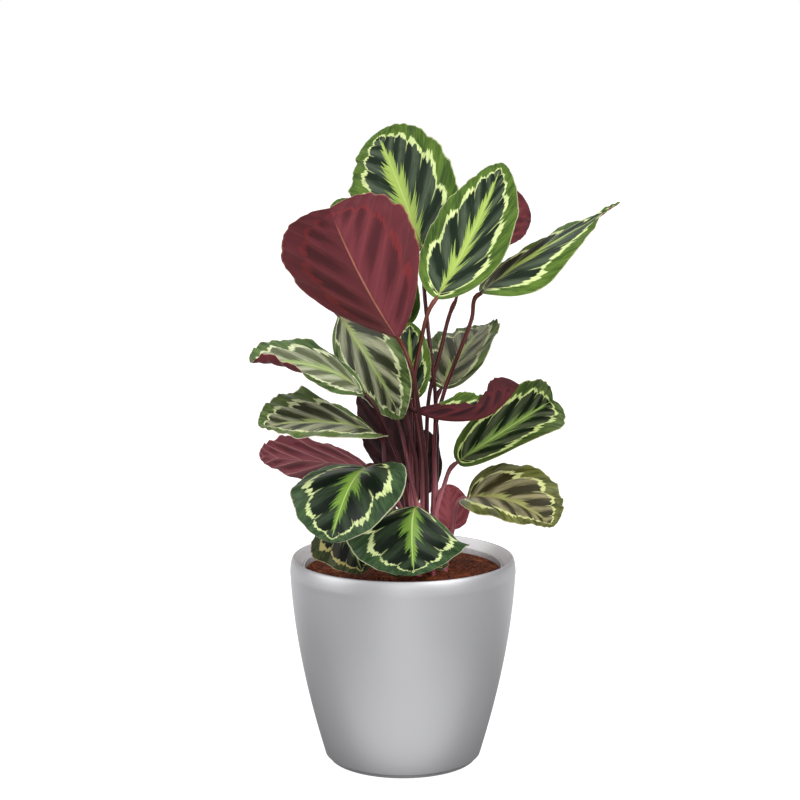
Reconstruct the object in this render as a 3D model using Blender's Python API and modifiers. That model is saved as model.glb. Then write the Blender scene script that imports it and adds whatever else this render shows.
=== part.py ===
"""A potted medallion calathea: planter, liner, soil, and a stalk and a blade for each leaf.

Metres, +Z up. The origin is the centre of the planter's underside, the planter's axis is the
Z axis, and the photograph looks along +Y with +X to the right.
"""

import math
from dataclasses import dataclass

import bmesh
import bpy
from mathutils import Vector

COLLECTION = "potted_calathea"
CUTTERS = "cutters"
GAP = 0.0003  # left between pieces that touch

# Planter: a round pot that swells from its foot to a rolled rim
PLANTER_HEIGHT = 0.255
PLANTER_RADIUS = 0.140
FOOT_RADIUS = 0.0953
SWELL_HEIGHT = 0.250  # where the wall reaches its full radius
SWELL_POWER = 1.7
WALL = 0.004
FLOOR = 0.006
FOOT_STEP = 0.0045  # a short foot, set in under the wall
LIP_RADIUS = 0.1345  # where the rim turns inward
SEAT_RADIUS = 0.1244  # the opening that the liner drops into
SHELF_RADIUS = 0.1195  # the shelf that carries the liner's flange
SHELF_TOP = 0.2345
SHELF_THICKNESS = 0.006
STEPS = 36  # sides of the planter, the liner and the soil, alike so that they nest

# Liner: a tapered growing pot that hangs by its flange on the planter's shelf
LINER_TOP = 0.2446
LINER_FLANGE = 0.0027
LINER_WALL = 0.003
LINER_FLOOR = 0.0315
LINER_FLOOR_RADIUS = 0.085
DRAIN_RADIUS = 0.006
DRAIN_CIRCLE = 0.050
DRAIN_COUNT = 5

# Soil: fills the liner, a little higher in the middle
SOIL_EDGE = 0.2376
SOIL_CENTRE = 0.2425
SOIL_RADIUS = 0.1211

# Stalks: round, thicker where they leave the soil
STALK_DEPTH = 0.030
STALK_ROOT_RADIUS = 0.0034
STALK_TOP_RADIUS = 0.0019
STALK_TAPER_HEIGHT = 0.110  # the height over which the thick foot thins out
HOLE_SIDES = 8
STALK_STEP = 0.030
KNEE = 0.009  # the stalk's last stretch runs in line with the midrib
NECK = 0.7  # how far the stalk narrows where it meets the blade
NECK_GAP = 0.0006  # clears the blade's rounded shoulders

# Blades: thin pleated sheets with scalloped and waved margins
BLADE_THICKNESS = 0.0008
PLEATS = 7
PLEAT_HEIGHT = 0.0010
SCALLOP = 0.015
VEIN_SWEEP = 0.6  # how far the side veins run towards the tip
ROW_BUNCHING = 0.08  # closer rows near the base and the tip
SMALL_BLADE = 0.10  # blades shorter than this get fewer rows


@dataclass(frozen=True)
class Leaf:
    """One leaf: where its stalk leaves the soil, the stalk's way, and the blade's form.

    face is the way its upper side looks. arch lifts the midrib's middle towards face and bow
    moves it to the left. fold and curl turn the left and right halves up from the midrib, in
    degrees: fold at once, curl growing towards the margin.
    """

    name: str
    root: tuple
    stalk: tuple
    base: tuple
    tip: tuple
    face: tuple
    width: float
    arch: float = 0.010
    bow: float = 0.0
    fold: tuple = (5, 5)
    curl: tuple = (0, 0)
    tip_curl: tuple = (0, 0)  # more curl, which grows towards the tip
    twist: float = 0
    base_round: float = 0.50
    tip_round: float = 0.60
    wave: float = 0.002
    waves: float = 2.5
    hook: float = 0.0


LEAVES = [
    Leaf(
        "top",
        root=(0.036, 0.016),
        stalk=(
            (0.039, 0.016, 0.386),
            (0.040, 0.018, 0.453),
            (0.034, 0.022, 0.508),
            (0.030, 0.031, 0.545),
            (0.026, 0.043, 0.588),
        ),
        base=(0.024, 0.062, 0.630),
        tip=(-0.034, 0.164, 0.774),
        face=(-0.44, -0.79, 0.41),
        width=0.146,
        arch=0.004,
        bow=-0.004,
        curl=(-15, -8),
        twist=-10,
        base_round=0.42,
        tip_round=0.50,
    ),
    Leaf(
        "front_left_high",
        root=(0.030, -0.036),
        stalk=(
            (0.029, -0.042, 0.324),
            (0.028, -0.055, 0.375),
            (0.023, -0.068, 0.416),
            (0.018, -0.078, 0.456),
            (0.009, -0.085, 0.503),
        ),
        base=(-0.006, -0.085, 0.536),
        tip=(-0.082, -0.190, 0.693),
        face=(-0.15, 0.82, 0.54),
        width=0.172,
        arch=-0.006,
        bow=-0.004,
        fold=(24, 30),
        curl=(10, -10),
        twist=10,
        base_round=0.75,
        tip_round=0.46,
    ),
    Leaf(
        "right_high",
        root=(0.024, -0.020),
        stalk=(
            (0.023, -0.020, 0.359),
            (0.021, -0.020, 0.399),
            (0.015, -0.017, 0.438),
            (0.014, -0.014, 0.479),
            (0.021, -0.008, 0.520),
        ),
        base=(0.040, 0.000, 0.575),
        tip=(0.123, 0.066, 0.738),
        face=(-0.37, -0.79, 0.50),
        width=0.118,
        arch=-0.002,
        bow=-0.005,
        fold=(10, 15),
        curl=(-20, -15),
        base_round=0.55,
        tip_round=0.72,
    ),
    Leaf(
        "far_right",
        root=(0.044, 0.000),
        stalk=(
            (0.040, 0.000, 0.338),
            (0.041, 0.000, 0.422),
            (0.052, 0.000, 0.465),
            (0.070, 0.000, 0.513),
            (0.084, 0.000, 0.551),
        ),
        base=(0.094, 0.000, 0.582),
        tip=(0.268, 0.020, 0.687),
        face=(-0.45, -0.05, 0.89),
        width=0.118,
        arch=0.006,
        fold=(8, 0),
        curl=(-6, -70),
        base_round=0.55,
        tip_round=1.10,
        hook=0.006,
        tip_curl=(0, 190),
    ),
    Leaf(
        "back_right_high",
        root=(0.028, 0.014),
        stalk=((0.029, 0.016, 0.397), (0.033, 0.020, 0.456), (0.046, 0.029, 0.506)),
        base=(0.065, 0.050, 0.568),
        tip=(0.159, 0.115, 0.684),
        face=(-0.40, 0.80, 0.30),
        width=0.074,
        fold=(10, 10),
        base_round=2.0,
        tip_round=0.35,
        bow=-0.006,
    ),
    Leaf(
        "back_left_high",
        root=(0.016, 0.022),
        stalk=((0.014, 0.034, 0.360), (0.012, 0.040, 0.420), (0.007, 0.046, 0.480)),
        base=(0.002, 0.066, 0.533),
        tip=(-0.084, 0.086, 0.691),
        face=(-0.22, -0.97, 0.14),
        width=0.100,
        arch=0.019,
        bow=-0.004,
        fold=(10, 15),
    ),
    Leaf(
        "right_mid_back",
        root=(0.040, 0.026),
        stalk=((0.043, 0.029, 0.396),),
        base=(0.047, 0.026, 0.461),
        tip=(0.104, 0.105, 0.532),
        face=(-0.34, -0.45, 0.83),
        width=0.112,
        arch=0.010,
        bow=-0.005,
        fold=(10, 15),
        curl=(5, 10),
        twist=-20,
    ),
    Leaf(
        "left_mid_front",
        root=(0.018, -0.034),
        stalk=(
            (0.016, -0.038, 0.330),
            (0.008, -0.034, 0.365),
            (0.000, -0.018, 0.405),
            (-0.018, 0.002, 0.455),
            (-0.050, 0.022, 0.512),
        ),
        base=(-0.080, 0.036, 0.552),
        tip=(-0.002, -0.046, 0.434),
        face=(-0.45, -0.80, 0.40),
        width=0.114,
        arch=0.012,
        bow=0.006,
        fold=(12, -32),
        curl=(10, -10),
        twist=0,
        base_round=0.34,
        tip_round=0.62,
        wave=0.003,
    ),
    Leaf(
        "far_left_high",
        root=(0.008, -0.016),
        stalk=((-0.006, -0.031, 0.384), (-0.024, -0.037, 0.427), (-0.037, -0.040, 0.453)),
        base=(-0.047, -0.039, 0.464),
        tip=(-0.179, -0.105, 0.511),
        face=(0.25, -0.42, 0.88),
        width=0.094,
        arch=0.018,
        fold=(5, 10),
        curl=(-15, -10),
        base_round=0.65,
        tip_round=0.50,
        twist=8,
        tip_curl=(260, 0),
    ),
    Leaf(
        "far_left_mid",
        root=(-0.002, -0.008),
        stalk=((-0.013, -0.010, 0.328), (-0.022, -0.013, 0.372)),
        base=(-0.032, -0.015, 0.411),
        tip=(-0.169, -0.110, 0.436),
        face=(0.28, -0.25, 0.93),
        width=0.128,
        arch=0.013,
        bow=0.005,
        fold=(15, 6),
        curl=(-5, 5),
        twist=-10,
        base_round=0.60,
        tip_round=0.65,
    ),
    Leaf(
        "far_left_low",
        root=(-0.006, 0.004),
        stalk=((-0.014, 0.005, 0.312),),
        base=(-0.044, 0.010, 0.368),
        tip=(-0.182, 0.067, 0.370),
        face=(0.28, 0.64, 0.71),
        width=0.103,
        arch=0.005,
        bow=-0.008,
        fold=(0, 5),
        twist=13,
        base_round=0.60,
        tip_round=0.57,
    ),
    Leaf(
        "front_left_low",
        root=(0.004, -0.032),
        stalk=((-0.002, -0.034, 0.320),),
        base=(-0.043, -0.070, 0.380),
        tip=(-0.084, -0.150, 0.305),
        face=(-0.12, -0.60, 0.79),
        width=0.152,
        arch=0.020,
        fold=(28, 0),
        curl=(-25, -25),
        base_round=0.48,
        tip_round=0.58,
    ),
    Leaf(
        "front_low",
        root=(0.020, -0.052),
        stalk=(),
        base=(0.017, -0.071, 0.333),
        tip=(0.013, -0.138, 0.263),
        face=(-0.10, -0.69, 0.72),
        width=0.160,
        arch=0.026,
        bow=-0.002,
        fold=(-30, -8),
        curl=(-15, -5),
        base_round=0.72,
        tip_round=0.55,
    ),
    Leaf(
        "rim_left",
        root=(-0.008, -0.024),
        stalk=((-0.018, -0.027, 0.290),),
        base=(-0.066, -0.040, 0.317),
        tip=(-0.048, -0.099, 0.256),
        face=(-0.48, -0.68, 0.55),
        width=0.112,
        arch=0.020,
        bow=0.004,
        fold=(-30, 0),
        base_round=0.46,
        tip_round=0.70,
    ),
    Leaf(
        "rim_front",
        root=(0.002, -0.046),
        stalk=(),
        base=(-0.001, -0.062, 0.292),
        tip=(-0.008, -0.092, 0.250),
        face=(0.00, -0.60, 0.80),
        width=0.060,
        arch=0.008,
        fold=(-5, -5),
    ),
    Leaf(
        "rim_right",
        root=(0.036, -0.048),
        stalk=(),
        base=(0.032, -0.062, 0.290),
        tip=(0.040, -0.100, 0.262),
        face=(0.60, 0.10, 0.60),
        width=0.050,
        arch=0.006,
        fold=(-5, 20),
    ),
    Leaf(
        "right_mid",
        root=(0.044, -0.014),
        stalk=((0.041, -0.012, 0.313), (0.050, -0.001, 0.342)),
        base=(0.067, 0.010, 0.371),
        tip=(0.189, 0.060, 0.442),
        face=(0.31, -0.82, 0.48),
        width=0.108,
        arch=0.012,
        fold=(48, 50),
        curl=(0, 10),
        twist=5,
        tip_round=0.38,
        tip_curl=(0, -110),
        wave=0.002,
        waves=3.0,
        base_round=0.50,
    ),
    Leaf(
        "curled_right",
        root=(0.014, -0.026),
        stalk=((0.016, -0.030, 0.375),),
        base=(0.015, -0.038, 0.443),
        tip=(0.139, -0.066, 0.453),
        face=(-0.05, 0.20, 0.97),
        width=0.060,
        arch=-0.014,
        fold=(85, 55),
        curl=(5, 55),
        wave=0.010,
        waves=1.0,
        tip_round=0.30,
        base_round=0.80,
        hook=0.026,
    ),
    Leaf(
        "right_low",
        root=(0.052, -0.024),
        stalk=((0.060, -0.022, 0.290),),
        base=(0.078, -0.010, 0.330),
        tip=(0.182, -0.060, 0.305),
        face=(0.15, -0.50, 0.85),
        width=0.126,
        arch=0.012,
        bow=0.006,
        fold=(22, 28),
        curl=(-20, -25),
        tip_round=0.5,
        base_round=0.38,
    ),
    Leaf(
        "back_right_low",
        root=(0.058, 0.030),
        stalk=(),
        base=(0.060, 0.040, 0.279),
        tip=(0.058, 0.060, 0.334),
        face=(0.10, 0.90, -0.20),
        width=0.050,
        arch=0.004,
    ),
    Leaf(
        "back_mid",
        root=(0.026, 0.036),
        stalk=(),
        base=(0.027, 0.040, 0.325),
        tip=(0.028, 0.054, 0.405),
        face=(-0.30, 0.90, -0.20),
        width=0.050,
        arch=0.004,
    ),
    Leaf(
        "back_left_mid",
        root=(0.000, 0.014),
        stalk=(),
        base=(0.004, 0.012, 0.345),
        tip=(-0.046, 0.020, 0.474),
        face=(-0.30, 0.90, 0.10),
        width=0.062,
        arch=0.004,
        fold=(10, 10),
    ),
    Leaf(
        "back_centre",
        root=(0.006, 0.036),
        stalk=(),
        base=(0.004, 0.056, 0.300),
        tip=(-0.010, 0.068, 0.450),
        face=(0.20, 0.90, 0.10),
        width=0.060,
        arch=0.004,
        fold=(10, 10),
    ),
    Leaf(
        "centre_mid",
        root=(0.012, 0.004),
        stalk=((0.010, 0.006, 0.380),),
        base=(0.009, 0.010, 0.448),
        tip=(0.008, 0.014, 0.545),
        face=(0.00, -0.95, 0.20),
        width=0.052,
        arch=0.006,
    ),
]
SHOOT_ROOT = (0.010, -0.042)
SHOOT_TOP = 0.338


def clear_scene():
    """Remove whatever the file holds."""
    for item in list(bpy.data.objects):
        bpy.data.objects.remove(item, do_unlink=True)


def new_collection(name):
    """A collection under the scene's own."""
    made = bpy.data.collections.new(name)
    bpy.context.scene.collection.children.link(made)
    return made


def paint(item, colour, roughness, metallic=0.0):
    """Give an object its own plain material."""
    material = bpy.data.materials.new(item.name)
    material.use_nodes = True
    shader = material.node_tree.nodes["Principled BSDF"]
    shader.inputs["Base Color"].default_value = (*colour, 1.0)
    shader.inputs["Roughness"].default_value = roughness
    shader.inputs["Metallic"].default_value = metallic
    item.data.materials.append(material)


def add_mesh(name, bm, collection):
    """Turn a bmesh into an object in a collection."""
    mesh = bpy.data.meshes.new(name)
    bm.to_mesh(mesh)
    bm.free()
    item = bpy.data.objects.new(name, mesh)
    collection.objects.link(item)
    return item


def turned(name, profile, steps, collection):
    """A solid of revolution from (radius, height) points that run down its outer side."""
    mesh = bpy.data.meshes.new(name)
    points = [(radius, 0.0, height) for radius, height in profile]
    edges = [(i, i + 1) for i in range(len(points) - 1)]
    mesh.from_pydata(points, edges, [])
    item = bpy.data.objects.new(name, mesh)
    collection.objects.link(item)
    screw = item.modifiers.new("turn", "SCREW")
    screw.axis = "Z"
    screw.steps = steps
    screw.render_steps = steps
    screw.use_merge_vertices = True
    screw.merge_threshold = 0.0001
    screw.use_smooth_shade = False
    return item


def wall_radius(height):
    """The planter's outer radius at a height."""
    rise = 1 - max(0.0, 1 - height / SWELL_HEIGHT) ** SWELL_POWER
    return FOOT_RADIUS + (PLANTER_RADIUS - FOOT_RADIUS) * rise


def make_planter(collection):
    """The outer pot, with a rolled rim, a shelf for the liner and a short foot."""
    inside = [(wall_radius(z) - WALL, z) for z in (0.012, 0.050, 0.095, 0.145, 0.190)]
    shelf_under = SHELF_TOP - SHELF_THICKNESS
    shelf = [
        (wall_radius(shelf_under) - WALL, shelf_under),
        (SHELF_RADIUS, shelf_under),
        (SHELF_RADIUS, SHELF_TOP),
        (SEAT_RADIUS, SHELF_TOP),
        (SEAT_RADIUS, 0.2450),
    ]
    rim = [
        (SEAT_RADIUS + 0.0030, 0.2495),
        (LIP_RADIUS, 0.2545),
        (LIP_RADIUS + 0.0015, PLANTER_HEIGHT),
        (PLANTER_RADIUS - 0.0012, 0.2535),
        (PLANTER_RADIUS, 0.2490),
    ]
    outside = [(wall_radius(z), z) for z in (0.220, 0.180, 0.140, 0.100, 0.065, 0.032, FOOT_STEP)]
    foot = [
        (FOOT_RADIUS - 0.0020, FOOT_STEP - 0.0005),
        (FOOT_RADIUS - 0.0030, 0.0010),
        (FOOT_RADIUS - 0.0042, 0.0),
        (0.0, 0.0),
    ]
    profile = [(0.0, FLOOR), (FOOT_RADIUS - 0.0095, FLOOR)] + inside + shelf + rim + outside + foot
    planter = turned("planter", profile, STEPS, collection)
    paint(planter, (0.42, 0.43, 0.44), 0.38, 0.85)


def liner_inner_radius(height):
    """The growing pot's inner radius at a height below its funnel."""
    low = LINER_FLOOR_RADIUS - LINER_WALL
    return low + (0.1158 - low) * (height - LINER_FLOOR) / (0.2325 - LINER_FLOOR)


def make_liner(collection, cutters):
    """The growing pot, open at the top, with its flange and drain holes."""
    flange_bottom = SHELF_TOP + GAP
    flange_outer = SEAT_RADIUS - GAP
    flange_inner = flange_outer - LINER_FLANGE
    top_inner = liner_inner_radius(0.2325)
    profile = [
        (0.0, LINER_FLOOR + LINER_WALL),
        (liner_inner_radius(LINER_FLOOR + LINER_WALL), LINER_FLOOR + LINER_WALL),
        (liner_inner_radius(0.130), 0.130),
        (top_inner, 0.2325),
        (flange_inner, flange_bottom + LINER_FLANGE),
        (flange_inner, LINER_TOP - 0.0006),
        (flange_inner + LINER_FLANGE / 2, LINER_TOP),
        (flange_outer, LINER_TOP - 0.0006),
        (flange_outer, flange_bottom),
        (SHELF_RADIUS - GAP, flange_bottom),
        (SHELF_RADIUS - GAP, 0.2285),
        (liner_inner_radius(0.130) + LINER_WALL, 0.130),
        (LINER_FLOOR_RADIUS, LINER_FLOOR),
        (0.0, LINER_FLOOR),
    ]
    liner = turned("liner", profile, STEPS, collection)
    bm = bmesh.new()
    for turn in range(DRAIN_COUNT):
        angle = 2 * math.pi * turn / DRAIN_COUNT
        place = Vector((DRAIN_CIRCLE * math.cos(angle), DRAIN_CIRCLE * math.sin(angle), LINER_FLOOR))
        add_cylinder(bm, place - Vector((0, 0, 0.004)), DRAIN_RADIUS, 0.012)
    cut(liner, add_mesh("drain_cutters", bm, cutters))
    paint(liner, (0.10, 0.10, 0.11), 0.55)


def add_cylinder(bm, foot, radius, height):
    """An upright closed cylinder from its foot's centre."""
    made = bmesh.ops.create_cone(
        bm, cap_ends=True, segments=HOLE_SIDES, radius1=radius, radius2=radius, depth=height
    )
    bmesh.ops.translate(bm, verts=made["verts"], vec=foot + Vector((0, 0, height / 2)))


def cut(item, cutter):
    """Subtract a hidden cutter from a piece."""
    cutter.hide_render = True
    cutter.display_type = "WIRE"
    boolean = item.modifiers.new("cut", "BOOLEAN")
    boolean.operation = "DIFFERENCE"
    boolean.solver = "EXACT"
    boolean.object = cutter


def make_soil(collection, cutters):
    """The soil, with a plain hole for each stalk."""
    profile = [
        (0.0, SOIL_CENTRE),
        (0.050, SOIL_CENTRE - 0.0003),
        (0.085, 0.2405),
        (0.110, 0.2385),
        (SOIL_RADIUS, SOIL_EDGE),
        (liner_inner_radius(0.2325) - GAP, 0.2325),
        (liner_inner_radius(0.130) - GAP, 0.130),
        (liner_inner_radius(LINER_FLOOR + LINER_WALL) - GAP, LINER_FLOOR + LINER_WALL + GAP),
        (0.0, LINER_FLOOR + LINER_WALL + GAP),
    ]
    soil = turned("soil", profile, STEPS, collection)
    bm = bmesh.new()
    radius = (STALK_ROOT_RADIUS + GAP) / math.cos(math.pi / HOLE_SIDES)
    for x, y in [leaf.root for leaf in LEAVES] + [SHOOT_ROOT]:
        foot = Vector((x, y, SOIL_CENTRE - STALK_DEPTH - GAP))
        add_cylinder(bm, foot, radius, STALK_DEPTH + 0.010)
    cut(soil, add_mesh("stalk_hole_cutters", bm, cutters))
    paint(soil, (0.13, 0.055, 0.03), 0.95)


def smooth_path(ways, step_length):
    """A smooth curve through points, read about every step_length."""
    spans = [(end - start).length for start, end in zip(ways, ways[1:])]
    units = [(end - start).normalized() for start, end in zip(ways, ways[1:])]
    turns = [units[0]]
    for i in range(1, len(units)):
        turns.append((units[i - 1] * spans[i] + units[i] * spans[i - 1]).normalized())
    turns.append(units[-1])
    path = []
    for i, span in enumerate(spans):
        steps = max(1, round(span / step_length))
        for step in range(steps):
            t = step / steps
            path.append(
                ways[i] * (2 * t**3 - 3 * t**2 + 1)
                + turns[i] * span * (t**3 - 2 * t**2 + t)
                + ways[i + 1] * (3 * t**2 - 2 * t**3)
                + turns[i + 1] * span * (t**3 - t**2)
            )
    path.append(ways[-1].copy())
    return path


def stalk_path(leaf, step_length):
    """The stalk's centre line: straight in its hole, then bending up to the blade's base."""
    surface = Vector((*leaf.root, SOIL_CENTRE))
    base = Vector(leaf.base)
    back = (base - midrib_point(leaf, 0.01)).normalized()
    ways = [surface + Vector((0, 0, 0.004))] + [Vector(place) for place in leaf.stalk]
    ways += [base + back * KNEE, base + back * NECK_GAP]
    return [surface - Vector((0, 0, STALK_DEPTH))] + smooth_path(ways, step_length)


def stalk_radius(height):
    """A stalk's radius at a height above the soil."""
    thin = min(1.0, max(0.0, (height - 0.004) / STALK_TAPER_HEIGHT))
    return STALK_ROOT_RADIUS + (STALK_TOP_RADIUS - STALK_ROOT_RADIUS) * thin**0.6


def tube(name, path, radii, collection):
    """A round tapered tube with closed ends."""
    curve = bpy.data.curves.new(name, "CURVE")
    curve.dimensions = "3D"
    curve.bevel_depth = 1.0
    curve.bevel_resolution = 1
    curve.use_fill_caps = True
    spline = curve.splines.new("POLY")
    spline.points.add(len(path) - 1)
    for point, place, radius in zip(spline.points, path, radii):
        point.co = (*place, 1.0)
        point.radius = radius
    item = bpy.data.objects.new(name, curve)
    collection.objects.link(item)
    return item


def make_stalk(leaf, collection):
    """The leaf's stalk, from its hole in the soil to just short of the blade."""
    path = stalk_path(leaf, STALK_STEP)
    radii = [stalk_radius(place.z - SOIL_CENTRE) for place in path]
    radii[-1] *= NECK
    stalk = tube(f"leaf_{leaf.name}_stalk", path, radii, collection)
    paint(stalk, (0.16, 0.035, 0.045), 0.45)


def half_width(leaf, along):
    """Half the blade's width at a place along the midrib, 0 at its base and 1 at its tip."""
    widest = leaf.base_round / (leaf.base_round + leaf.tip_round)
    peak = widest**leaf.base_round * (1 - widest) ** leaf.tip_round
    along = min(1.0, max(0.0, along))
    return 0.5 * leaf.width * along**leaf.base_round * (1 - along) ** leaf.tip_round / peak


def blade_axes(leaf):
    """The blade's length and its axes: towards the tip, to the left, and out of its face."""
    chord = Vector(leaf.tip) - Vector(leaf.base)
    forward = chord.normalized()
    up = Vector(leaf.face)
    up = (up - forward * up.dot(forward)).normalized()
    return chord.length, forward, up.cross(forward), up


def midrib_point(leaf, along):
    """A point of the midrib."""
    length, forward, left, up = blade_axes(leaf)
    bulge = 4 * along * (1 - along)
    lift = leaf.arch * bulge * (1.2 - 0.4 * along)
    lift += leaf.hook * max(0.0, (along - 0.6) / 0.4) ** 2
    return Vector(leaf.base) + forward * length * along + up * lift + left * leaf.bow * bulge


def blade_point(leaf, row, across):
    """A point of the blade's middle surface.

    row runs from 0 at the base to 1 at the tip along the side veins, and across from -1 at
    the right margin to 1 at the left one.
    """
    vein = row - ROW_BUNCHING * math.sin(2 * math.pi * row)
    sweep = VEIN_SWEEP * vein * (1 - vein)
    along = vein + sweep * abs(across) ** 1.2
    pleat = math.cos(2 * math.pi * PLEATS * row)
    reach = half_width(leaf, vein + sweep) * abs(across) * (1 + SCALLOP * pleat)

    tangent = (midrib_point(leaf, along + 0.001) - midrib_point(leaf, along - 0.001)).normalized()
    length, forward, left, up = blade_axes(leaf)
    turn = math.radians(leaf.twist) * (along - 0.5)
    side = left * math.cos(turn) + up * math.sin(turn)
    side = (side - tangent * side.dot(tangent)).normalized()
    normal = tangent.cross(side)

    half = 0 if across >= 0 else 1
    start = math.radians(leaf.fold[half])
    bend = math.radians(leaf.curl[half] + leaf.tip_curl[half] * max(0.0, along) ** 5)
    if abs(bend) < 0.001:
        bend = 0.001
    radius = 0.5 * leaf.width / bend
    end = start + reach / radius
    out = radius * (math.sin(end) - math.sin(start))
    lift = radius * (math.cos(start) - math.cos(end))

    fade = math.sqrt(max(0.0, 4 * vein * (1 - vein)))
    swing = 2 * math.pi * leaf.waves * vein + (0.0 if half == 0 else 1.7)
    lift += leaf.wave * across**2 * math.sin(swing) * fade
    lift += PLEAT_HEIGHT * pleat * math.sqrt(abs(across)) * fade
    return midrib_point(leaf, along) + side * math.copysign(out, across) + normal * lift


def make_blade(leaf, collection):
    """The leaf's blade: a grid laid along its veins, split into triangles and thickened."""
    length = (Vector(leaf.tip) - Vector(leaf.base)).length
    rows, columns = (8, 6) if length < SMALL_BLADE else (2 * PLEATS, 8)
    bm = bmesh.new()
    bmesh.ops.create_grid(bm, x_segments=columns, y_segments=rows, size=1.0)
    for vert in bm.verts:
        vert.co = blade_point(leaf, (vert.co.y + 1) / 2, -vert.co.x)
    bmesh.ops.remove_doubles(bm, verts=bm.verts, dist=0.00005)
    bmesh.ops.triangulate(bm, faces=bm.faces)
    blade = add_mesh(f"leaf_{leaf.name}_blade", bm, collection)
    thicken = blade.modifiers.new("thicken", "SOLIDIFY")
    thicken.thickness = BLADE_THICKNESS
    thicken.offset = 0.0
    paint(blade, (0.05, 0.13, 0.04), 0.40)


def make_shoot(collection):
    """A new leaf, still rolled up in a thin spindle."""
    x, y = SHOOT_ROOT
    ways = [
        Vector((x, y, SOIL_CENTRE - STALK_DEPTH)),
        Vector((x, y, SOIL_CENTRE + 0.004)),
        Vector((x + 0.003, y - 0.001, 0.285)),
        Vector((x + 0.006, y - 0.002, 0.315)),
        Vector((x + 0.007, y - 0.003, SHOOT_TOP)),
    ]
    shoot = tube("new_shoot", ways, [0.0030, 0.0030, 0.0034, 0.0026, 0.0006], collection)
    paint(shoot, (0.42, 0.16, 0.17), 0.45)


def main():
    """Build every piece."""
    clear_scene()
    collection = new_collection(COLLECTION)
    cutters = new_collection(CUTTERS)
    make_planter(collection)
    make_liner(collection, cutters)
    make_soil(collection, cutters)
    for leaf in LEAVES:
        make_stalk(leaf, collection)
        make_blade(leaf, collection)
    make_shoot(collection)


main()
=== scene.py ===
"""Looks of a potted medallion calathea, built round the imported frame.

Metres, +Z up, in the frame of the solids: the origin is the centre of the planter's underside,
and the photograph looks along +Y with +X to the right.
"""

from __future__ import annotations

import logging
import math
import random
import sys
from dataclasses import dataclass
from enum import Enum
from typing import Callable, Sequence

import bpy
import numpy as np
from mathutils import Matrix, Vector, noise

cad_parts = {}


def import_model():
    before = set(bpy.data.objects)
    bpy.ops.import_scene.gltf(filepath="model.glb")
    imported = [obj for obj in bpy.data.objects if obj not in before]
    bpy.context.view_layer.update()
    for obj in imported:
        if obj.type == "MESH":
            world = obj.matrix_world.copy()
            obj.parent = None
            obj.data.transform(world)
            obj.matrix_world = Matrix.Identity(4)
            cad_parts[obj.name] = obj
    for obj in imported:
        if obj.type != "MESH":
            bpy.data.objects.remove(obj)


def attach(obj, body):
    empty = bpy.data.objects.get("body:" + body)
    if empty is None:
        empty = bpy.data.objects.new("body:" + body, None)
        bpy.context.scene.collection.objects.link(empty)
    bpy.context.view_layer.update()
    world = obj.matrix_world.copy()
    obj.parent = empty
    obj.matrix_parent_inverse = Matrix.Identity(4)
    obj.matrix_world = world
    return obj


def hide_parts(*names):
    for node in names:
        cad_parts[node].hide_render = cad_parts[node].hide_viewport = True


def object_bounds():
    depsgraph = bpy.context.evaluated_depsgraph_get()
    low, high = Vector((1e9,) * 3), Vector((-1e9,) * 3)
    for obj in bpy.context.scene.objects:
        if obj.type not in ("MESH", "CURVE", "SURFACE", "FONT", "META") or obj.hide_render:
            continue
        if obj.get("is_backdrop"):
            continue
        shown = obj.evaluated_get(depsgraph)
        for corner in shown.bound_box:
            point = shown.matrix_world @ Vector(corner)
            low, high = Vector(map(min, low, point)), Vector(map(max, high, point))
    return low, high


LOG = logging.getLogger("calathea")
BODY = "root"
SOIL_TOP = 0.2425
ROOT_DEPTH = 0.030
VEIN_LEAD = 0.24
VEIN_CURVE = 0.85
SHOOT_TURNS = 1.6
WHITE = (1.0, 1.0, 1.0, 1.0)


def srgb(red: float, green: float, blue: float) -> tuple[float, float, float, float]:
    """Turn a display colour into the linear one that a shader takes.

    Args:
        red: Red, from 0 to 255.
        green: Green, from 0 to 255.
        blue: Blue, from 0 to 255.

    Returns:
        The linear colour with full alpha.
    """
    linear = []
    for value in (red, green, blue):
        share = value / 255
        linear.append(share / 12.92 if share <= 0.04045 else ((share + 0.055) / 1.055) ** 2.4)
    return (*linear, 1.0)


def deselect_all() -> None:
    """Leave no object selected, so that an operator acts only on the new piece."""
    if bpy.context.object and bpy.context.object.mode != "OBJECT":
        bpy.ops.object.mode_set(mode="OBJECT")
    bpy.ops.object.select_all(action="DESELECT")


def select_only(item: bpy.types.Object) -> None:
    """Select one object and make it the active one.

    Args:
        item: The object.
    """
    deselect_all()
    item.select_set(True)
    bpy.context.view_layer.objects.active = item


def apply_modifiers(item: bpy.types.Object) -> None:
    """Apply all of a piece's modifiers, in order.

    Args:
        item: The piece.
    """
    select_only(item)
    for modifier in list(item.modifiers):
        bpy.ops.object.modifier_apply(modifier=modifier.name)


def merge_doubles(item: bpy.types.Object, distance: float) -> None:
    """Merge doubled vertices and drop loose ones.

    Args:
        item: The piece.
        distance: How near two vertices are to be merged.
    """
    select_only(item)
    bpy.ops.object.mode_set(mode="EDIT")
    bpy.ops.mesh.select_all(action="SELECT")
    bpy.ops.mesh.remove_doubles(threshold=distance)
    bpy.ops.mesh.delete_loose(use_verts=True, use_edges=True, use_faces=False)
    bpy.ops.object.mode_set(mode="OBJECT")


def merge_and_turn_out(item: bpy.types.Object, distance: float = 0.00001) -> None:
    """Close a turned or wrapped shell and point its faces outwards.

    Args:
        item: The piece.
        distance: How near two vertices are to be merged.
    """
    merge_doubles(item, distance)
    bpy.ops.object.mode_set(mode="EDIT")
    bpy.ops.mesh.select_all(action="SELECT")
    bpy.ops.mesh.normals_make_consistent(inside=False)
    bpy.ops.object.mode_set(mode="OBJECT")


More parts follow.
